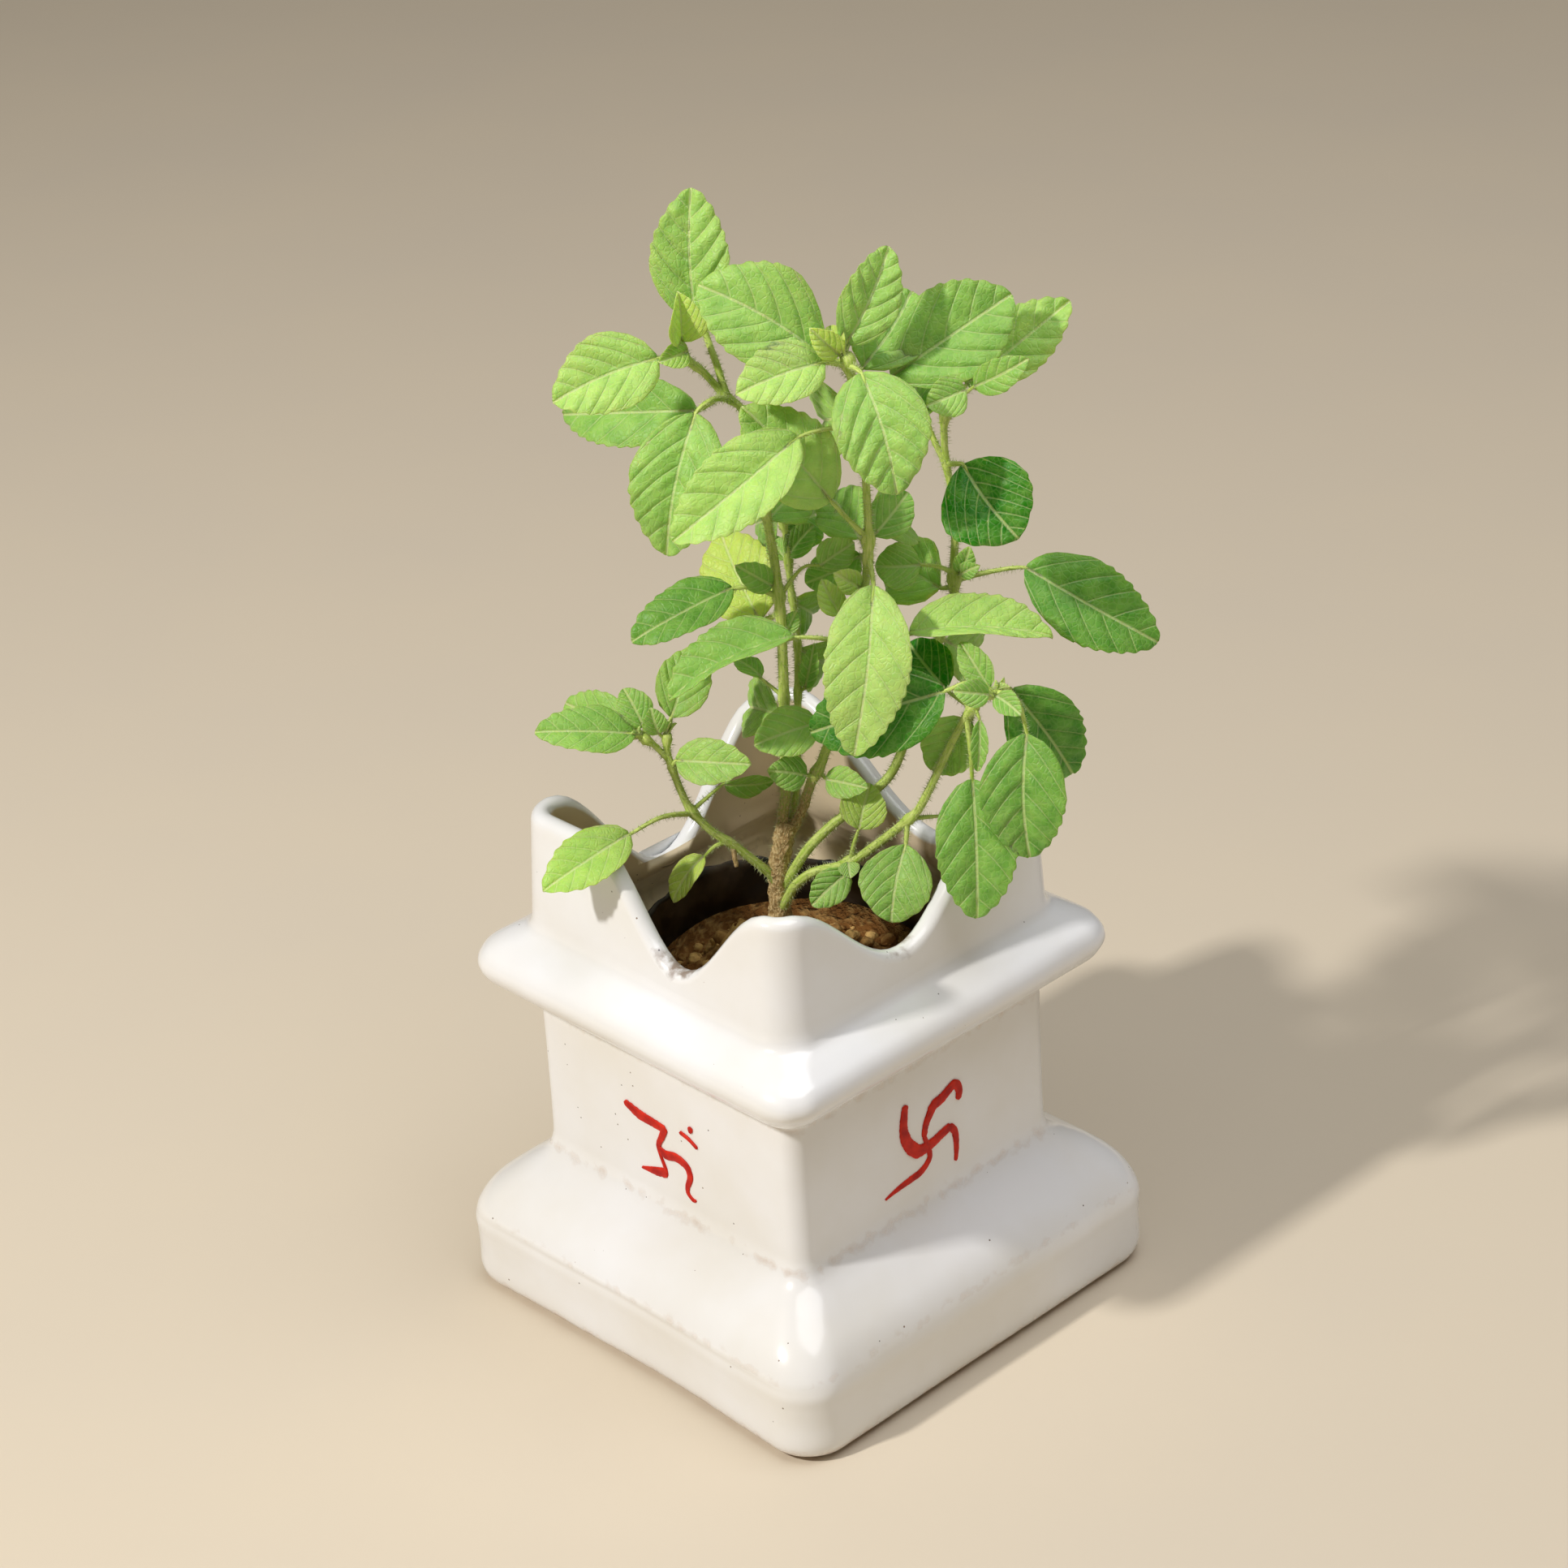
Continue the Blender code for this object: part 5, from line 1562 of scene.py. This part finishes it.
    def worn(self, point: np.ndarray, outer: bool) -> np.ndarray:
        """The point moved as hand casting leaves it: swells, a rippled cornice, a bowed foot.

        Args:
            point: The point of the even form.
            outer: Whether it lies on the outside, below the upper wall.

        Returns:
            The point of the cast form.
        """
        x, y, z = point
        outward = np.array((x, y, 0.0)) / max(1.0, math.hypot(x, y))
        waist = min(1.0, max(0.0, (z - 36.0) / 8.0)) * min(1.0, max(0.0, (98.0 - z) / 7.0))
        point = np.array((x, y - self.waist_drawn_in * waist * max(0.0, y) / 50.0, z))
        free = 1.0 if z < 40 or z > 93 else 0.0
        swell = noise.noise(Vector((x, y, z)) / 38.0) * self.swell * free
        ripple = 0.0
        if outer and 99 < z < 114:
            along = y if abs(x) > abs(y) else x
            ripple = self.ripple * noise.noise(Vector((along / 4.5, 3.0, z / 30))) - 0.1
        moved = point + outward * (min(0.0, swell - 0.3) + ripple * (1.0 if abs(z - 106) < 6 else 0.4))
        if outer:
            for seam in self.seams:
                moved = moved - outward * self.seam_depth * math.exp(-(((z - seam) / self.seam_depth) ** 2))
        if z < 24 and y < -60:
            moved[1] += self.foot_bow * math.cos(math.pi * x / 150) * (1 - z / 40)
        return moved

    def grime_and_shade_at(self, point: np.ndarray, rim: float, inside: bool) -> tuple[float, float, float]:
        """How much crease stain and painted shade, and how much rim dirt and deep painted shade, a point
        gets, from 0 to 1 each.

        Args:
            point: The point.
            rim: The height of the rim above it.
            inside: Whether it lies inside the pot.

        Returns:
            The crease stain and painted shade, the rim dirt and deep painted shade, and 1 inside the pot,
            where the painted shade tint goes.
        """
        x, y, z = point
        # Tan stain and painted shade along the creases.
        stain_and_shade = sum(fold.strength * math.exp(-(((z - fold.z) / fold.spread) ** 2)) for fold in CREASES)
        if inside:
            # Inside: painted shade that deepens below 98 mm, and the painted shade tint.
            return stain_and_shade, 0.45 * max(0.0, 1 - (z - 98) / 30.0), 1.0
        low_rim = max(0.0, 1 - (rim - 115.0) / 18.0) if x - y > 0 else 0.0
        dirt_and_shade = 1.5 * math.exp(-(((rim - z) / 2.6) ** 2)) * low_rim
        return stain_and_shade, dirt_and_shade, 0.0

    def body(self) -> bpy.types.Object:
        """Builds the glazed body.

        Returns:
            The piece.
        """
        heights: list[np.ndarray] = []
        profile = smooth_curve([np.array(row) for row in self.outside()], 1.25)
        extra = [seam + step for seam in self.seams for step in (-0.45, -0.22, 0.0, 0.22, 0.45)]
        levels = sorted(set(np.round(list(profile[:, 0]) + extra, 3)))
        for level in levels:
            half, corner = (float(np.interp(level, profile[:, 0], profile[:, axis])) for axis in (1, 2))
            heights.append(np.array([(x, y, level) for x, y in self.rounded_square(half, corner)]))
        outer_rows = len(heights)
        lip = self.wall / 2
        heights += [self.upper_row(step / 16, 0.0, lip) for step in range(1, 17)]
        for step in range(1, 10):
            bend = math.pi * step / 10
            heights.append(self.upper_row(1.0, lip - lip * math.cos(bend), lip - lip * math.sin(bend)))
        heights += [self.upper_row(step / 10, self.wall, lip) for step in range(10, 0, -1)]
        inner_profile = smooth_curve([np.array(row) for row in self.inside()], 4.0)
        for z, half, corner in inner_profile:
            heights.append(np.array([(x, y, z) for x, y in self.rounded_square(half, corner)]))
        columns = len(heights[0])
        tops = [self.rim_height(x, y) for x, y in self.rounded_square(self.upper_top_half, self.upper_corner)]
        grime_and_shade = []
        for number, ring in enumerate(heights):
            # Rings past the lip lie inside and get the painted shade tint.
            shaded_inner = number > outer_rows + self.lip_rows
            grime_and_shade += [self.grime_and_shade_at(point, tops[column], shaded_inner) for column, point in enumerate(ring)]
        points = [self.worn(point, row < outer_rows) for row, ring in enumerate(heights) for point in ring]
        faces = lidded_faces(len(heights), columns)
        surface = Surface()
        surface.put(np.array(points), faces)
        piece = surface.make("glazed_pot", [self.glaze.make()])
        layer = piece.data.attributes.new("grime_and_shade", "FLOAT_VECTOR", "POINT")
        layer.data.foreach_set("vector", np.array(grime_and_shade, np.float32).ravel())
        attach(piece, "root")
        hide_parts("pot")
        LOG.info("glazed_pot: %d faces", len(faces))
        return piece

    def marking(
        self, name: str, facing: np.ndarray, strokes: Sequence[Stroke], material: bpy.types.Material
    ) -> bpy.types.Object:
        """Builds the brushed mark of one wall: the plain auspicious strokes painted on such pots.

        Args:
            name: The piece's name.
            facing: The wall's normal.
            strokes: The strokes of the mark.
            material: The paint.

        Returns:
            The piece.
        """
        surface = Surface()
        draw = random.Random(f"{SEED} {name}")
        lanes = np.linspace(-1, 1, 9)
        for stroke in strokes:
            knots = [on_plane(px, py, facing, self.waist_half) for px, py in stroke.points]
            line = smooth_curve(knots, 0.28)
            spans = run_lengths(np.array(knots))
            runs = run_lengths(line) * spans[-1] / run_lengths(line)[-1]
            breadth = np.interp(runs, spans, stroke.breadths) * self.brush_spread
            ends = np.clip(np.minimum(runs, spans[-1] - runs) / np.maximum(breadth * 0.35, 0.2), 0.0, 1.0)
            breadth = breadth * np.sqrt(np.clip(ends * (2 - ends), 0.02, 1.0))
            shift = draw.uniform(0, 90)
            ways = np.gradient(line, axis=0)
            upper = np.zeros((len(line), len(lanes), 3))
            thin = np.zeros(upper.shape)
            for row, point in enumerate(line):
                side = unit(np.cross(facing, ways[row]))
                load = noise.noise(Vector((runs[row] * 0.25, 7.0, shift)))
                for column, lane in enumerate(lanes):
                    ragged = 1 + 0.14 * noise.noise(Vector((runs[row] * 1.3, lane * 2, shift)))
                    height = self.paint_high * (1 - lane * lane) ** 0.5 + 0.05
                    reach = lane * breadth[row] / 2 * ragged
                    upper[row, column] = point + side * reach + facing * height
                    thin[row, column, 0] = 0.5 * abs(lane) ** 3 + 0.35 * load + 0.25
            depth = upper @ facing - self.waist_half + self.paint_sunk
            under = upper - depth[..., None] * facing
            look = np.vstack([thin.reshape(-1, 3)] * 2)
            closed_sheet(surface, upper, under, 0, np.zeros_like(look), look)
        piece = surface.make(name, [material])
        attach(piece, "root")
        LOG.info("%s: %d faces", name, len(surface.faces))
        return piece


LEFT_MARK = (
    Stroke(((769, 1357), (786, 1372), (800, 1381), (812, 1388), (820, 1393)), (1.5, 2.3, 2.1, 1.9, 1.6)),
    Stroke(((819, 1390), (815, 1401), (811, 1411), (813, 1421), (816, 1430), (820, 1441), (821, 1449)),
           (1.7, 1.5, 1.2, 0.9, 0.8, 0.9, 1.0)),
    Stroke(((822, 1446), (808, 1443), (791, 1438)), (2.3, 1.9, 0.5)),
    Stroke(((811, 1414), (820, 1423), (831, 1426), (840, 1432), (847, 1440), (850, 1452), (847, 1463),
            (848, 1471), (854, 1479), (858, 1480)), (1.4, 2.0, 2.0, 1.9, 1.7, 1.5, 1.2, 1.0, 0.9, 0.6)),
    Stroke(((837, 1395), (848, 1404), (859, 1416)), (0.9, 0.9, 0.8)),
    Stroke(((850, 1389), (850, 1393), (851, 1397)), (1.1, 1.3, 1.0)),
)

RIGHT_MARK = (
    Stroke(((1116, 1362), (1114, 1379), (1114, 1395), (1118, 1408), (1125, 1416), (1132, 1419), (1141, 1414),
            (1151, 1407), (1161, 1397), (1172, 1387)), (1.5, 1.9, 2.2, 2.6, 2.9, 2.8, 2.5, 2.2, 2.1, 1.9)),
    Stroke(((1170, 1387), (1177, 1395), (1179, 1412), (1178, 1430)), (1.7, 1.6, 1.3, 0.9)),
    Stroke(((1181, 1355), (1182, 1343), (1176, 1336), (1161, 1353), (1151, 1362), (1146, 1373), (1141, 1387),
            (1139, 1402)), (1.5, 1.8, 2.0, 2.3, 2.4, 2.0, 1.6, 1.3)),
    Stroke(((1139, 1400), (1146, 1421), (1143, 1433), (1134, 1445), (1122, 1454), (1106, 1466), (1091, 1479)),
           (1.0, 1.2, 1.4, 1.6, 1.5, 1.1, 0.4)),
)


@dataclass(frozen=True)
class Clod:
    """A lump on the soil: where it lies, how wide and how high it is."""

    x: float
    y: float
    radius: float
    height: float


CLODS = (
    Clod(-15.0, -6.0, 9.0, 6.0),
    Clod(-23.0, -18.0, 7.0, 4.0),
    Clod(6.0, -19.0, 8.0, 4.5),
    Clod(19.0, -4.0, 7.0, 3.5),
    Clod(14.0, 17.0, 10.0, 4.0),
    Clod(-8.0, 21.0, 8.0, 4.5),
    Clod(-27.0, 8.0, 7.0, 3.0),
    Clod(27.0, 12.0, 6.0, 2.5),
)


@dataclass
class Rooting:
    """The nursery bag, crumpled round its soil, and the crumbs that lie on it."""

    bag_radius: float = 41.0
    bag_sheet: float = 0.5
    bag_top_z: float = 108.6
    bag_foot_z: float = 6.3
    soil_top_z: float = 104.0
    crumbs: int = 420
    polythene: PolytheneFinish = PolytheneFinish()
    earth: SoilFinish = SoilFinish()

    def outline(self, turn: float) -> float:
        """The bag's radius, which its soft sheet lets wander a little."""
        return self.bag_radius + 0.5 * math.sin(3 * turn + 0.8) + 0.3 * math.sin(7 * turn)

    def soil_height(self, x: float, y: float) -> float:
        """The height of the crumbly soil, highest round the trunk.

        Args:
            x: The point's place from side to side.
            y: Its place from front to back.

        Returns:
            The height in millimetres.
        """
        distance = math.hypot(x + 4.0, y + 3.0)
        z = self.soil_top_z - 15.0 + 18.0 * math.exp(-((distance / 20.0) ** 2))
        for clod in CLODS:
            off = math.hypot(x - clod.x, y - clod.y) / clod.radius
            z += clod.height * 0.8 * max(0.0, 1 - off * off) ** 0.7
        for size, depth in ((5.0, 1.3), (2.1, 0.8), (0.9, 0.4)):
            z += depth * noise.noise(Vector((x / size, y / size, size)))
        return z

    def bag(self) -> bpy.types.Object:
        """Builds the crumpled bag, a thin closed sheet open at the top.

        Returns:
            The piece.
        """
        sides = 150
        rings = []
        for inset, heights in ((0.0, np.linspace(0, 1, 46)), (self.bag_sheet, np.linspace(1, 0.02, 46))):
            for share in heights:
                for side in range(sides):
                    turn = 2 * math.pi * side / sides
                    spot = Vector((3.4 * math.cos(turn), 3.4 * math.sin(turn), share * 7.0))
                    crease = abs(noise.noise(spot * 1.7)) * 1.2 + abs(noise.noise(spot * 4.1)) * 0.5
                    lip = max(0.0, share - 0.93) / 0.07
                    radius = self.outline(turn) - inset - crease * (0.35 + 0.65 * share) + lip * 0.6
                    wave = 1.2 * math.sin(2 * turn + 1.0) + 0.6 * math.sin(5 * turn)
                    wave += 1.1 * noise.noise(spot * 2.2)
                    z = self.bag_foot_z + (self.bag_top_z - self.bag_foot_z) * share + wave * lip
                    radius = radius if share > 0.03 else radius - 2.0
                    rings.append((radius * math.cos(turn), radius * math.sin(turn), z))
        faces = lidded_faces(len(rings) // sides, sides)
        surface = Surface()
        surface.put(np.array(rings), faces)
        piece = surface.make("crumpled_bag", [self.polythene.make()])
        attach(piece, "root")
        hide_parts("nursery_bag")
        LOG.info("crumpled_bag: %d faces", len(faces))
        return piece

    def soil(self) -> bpy.types.Object:
        """Builds the soil bed with its clods, and strews crumbs on it.

        Returns:
            The piece.
        """
        draw = random.Random(f"{SEED} soil")
        surface = Surface()
        sides, shares = 150, list(np.linspace(1.0, 0.02, 64))
        foot = self.bag_foot_z + self.bag_sheet + 0.6
        points = []
        look = []
        for height in (foot, 60.0, self.soil_top_z - 8.0):
            for side in range(sides):
                turn = 2 * math.pi * side / sides
                radius = self.outline(turn) - self.bag_sheet - 2.3
                points.append((radius * math.cos(turn), radius * math.sin(turn), height))
                look.append((0.1, 0, 0))
        for share in shares:
            for side in range(sides):
                turn = 2 * math.pi * side / sides
                radius = (self.outline(turn) - self.bag_sheet - 1.2) * share
                x, y = radius * math.cos(turn), radius * math.sin(turn)
                z = self.soil_height(x, y)
                points.append((x, y, z))
                # Higher soil gets a lighter look: partly drier, partly painted light.
                look.append((min(1.0, max(0.0, (z - self.soil_top_z + 8.0) / 12.0)), 0, 0))
        faces = lidded_faces(len(points) // sides, sides)
        surface.put(np.array(points), faces, 0, None, np.array(look))
        for _ in range(self.crumbs):
            turn, reach = draw.uniform(0, 2 * math.pi), 37.0 * math.sqrt(draw.random())
            x, y = reach * math.cos(turn), reach * math.sin(turn)
            if math.hypot(x, y) < 4.0:
                continue
            middle = np.array((x, y, self.soil_height(x, y)))
            self.crumb(surface, middle, 0.5 + 2.1 * draw.random() ** 3, draw)
        piece = surface.make("crumbly_soil", [self.earth.make()])
        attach(piece, "root")
        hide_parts("soil")
        LOG.info("crumbly_soil: %d faces", len(surface.faces))
        return piece

    def crumb(self, surface: Surface, middle: np.ndarray, radius: float, draw: random.Random) -> None:
        """Adds one crumb of soil, a lumpy ball that sits a little way in.

        Args:
            surface: What it is added to.
            middle: Where it sits.
            radius: Its rough radius.
            draw: The seeded draw.
        """
        rows, sides = 5, 8
        tone = draw.uniform(0.1, 1.0)
        shift = draw.uniform(0, 50)
        points = [middle - UP * radius * 0.5]
        for row in range(rows):
            tilt = math.pi * (row + 1) / (rows + 1)
            for side in range(sides):
                turn = 2 * math.pi * side / sides
                flat = math.sin(tilt)
                way = Vector((flat * math.cos(turn), flat * math.sin(turn), -math.cos(tilt)))
                reach = radius * (1 + 0.45 * noise.noise(way * 1.6 + Vector((shift, 0, 0))))
                points.append(middle + np.array(way) * reach * np.array((1, 1, 0.75)) + UP * radius * 0.25)
        points.append(middle + UP * radius)
        last = len(points) - 1
        faces: list[tuple[int, ...]] = list(grid_faces(rows, sides, True, 1))
        for side in range(sides):
            nxt = (side + 1) % sides
            faces.append((0, 1 + nxt, 1 + side))
            faces.append((last, last - sides + side, last - sides + nxt))
        surface.put(np.array(points), faces, 0, None, np.tile((tone, 0.0, 0.0), (len(points), 1)))


@dataclass
class Studio:
    """The plain pale floor, the soft lights and the camera at the photograph's place."""

    floor_side: float = 6.0
    key_watts: float = 25.5
    fill_watts: float = 0.8
    sky_watts: float = 16.0
    floor: FloorFinish = FloorFinish()

    def build(self) -> None:
        """Builds the floor, the lights and the camera."""
        bpy.ops.mesh.primitive_plane_add(size=self.floor_side, location=(0.0, 0.0, -0.0004))
        ground = bpy.context.object
        ground.name = "studio_floor"
        ground.data.materials.append(self.floor.make())
        self.light("key", (-0.26, -1.33, 1.34), 0.11, self.key_watts, "#fffaf4")
        self.light("fill", (1.3, -0.7, 0.9), 1.4, self.fill_watts, "#ffe9cf")
        self.light("sky", (0.45, 0.15, 1.75), 1.3, self.sky_watts, "#fbfbff")
        world = bpy.data.worlds.new("studio_air")
        world.use_nodes = True
        world.node_tree.nodes["Background"].inputs[0].default_value = linear("#efe6d4")
        world.node_tree.nodes["Background"].inputs[1].default_value = 0.18
        bpy.context.scene.world = world
        bpy.context.scene.view_settings.view_transform = "Standard"
        self.camera()

    def light(
        self, name: str, place: tuple[float, float, float], side: float, watts: float, colour: str
    ) -> None:
        """Adds a square soft light that looks at the plant.

        Args:
            name: The light's name.
            place: Where it hangs, in metres.
            side: Its side, in metres.
            watts: Its power.
            colour: Its colour.
        """
        data = bpy.data.lights.new(name, "AREA")
        data.size = side
        data.energy = watts
        data.color = linear(colour)[:3]
        made = bpy.data.objects.new(name, data)
        made.location = place
        made.rotation_euler = (Vector((0, 0, 0.15)) - Vector(place)).to_track_quat("-Z", "Y").to_euler()
        bpy.context.scene.collection.objects.link(made)

    def camera(self) -> None:
        """Adds the camera, with the slight roll that the photograph has."""
        data = bpy.data.cameras.new("camera")
        data.sensor_width = SENSOR_MM
        data.lens = FOCAL_PX / PHOTO_SIDE * SENSOR_MM
        made = bpy.data.objects.new("camera", data)
        right = RIGHTWARD * math.cos(CAMERA_ROLL) + PICTURE_UP * math.sin(CAMERA_ROLL)
        above = PICTURE_UP * math.cos(CAMERA_ROLL) - RIGHTWARD * math.sin(CAMERA_ROLL)
        frame = Matrix((right, above, -LOOKING)).transposed().to_4x4()
        frame.translation = Vector(CAMERA_MM * MM)
        made.matrix_world = frame
        bpy.context.scene.collection.objects.link(made)
        bpy.context.scene.camera = made


def main() -> None:
    """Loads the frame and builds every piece."""
    logging.basicConfig(level=logging.INFO, format="%(name)s: %(message)s")
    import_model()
    pot = Pot()
    pot.body()
    paint = pot.paint.make()
    pot.marking("painted_mark_left", np.array((0.0, -1.0, 0.0)), LEFT_MARK, paint)
    pot.marking("painted_mark_right", np.array((1.0, 0.0, 0.0)), RIGHT_MARK, paint)
    rooting = Rooting()
    rooting.bag()
    rooting.soil()
    plant = Plant()
    finishes = plant.materials()
    plant.trunk(finishes)
    for stem in LEAFY_STEMS:
        plant.build(stem, finishes)
    Studio().build()
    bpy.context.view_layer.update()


if __name__ == "__main__":
    main()
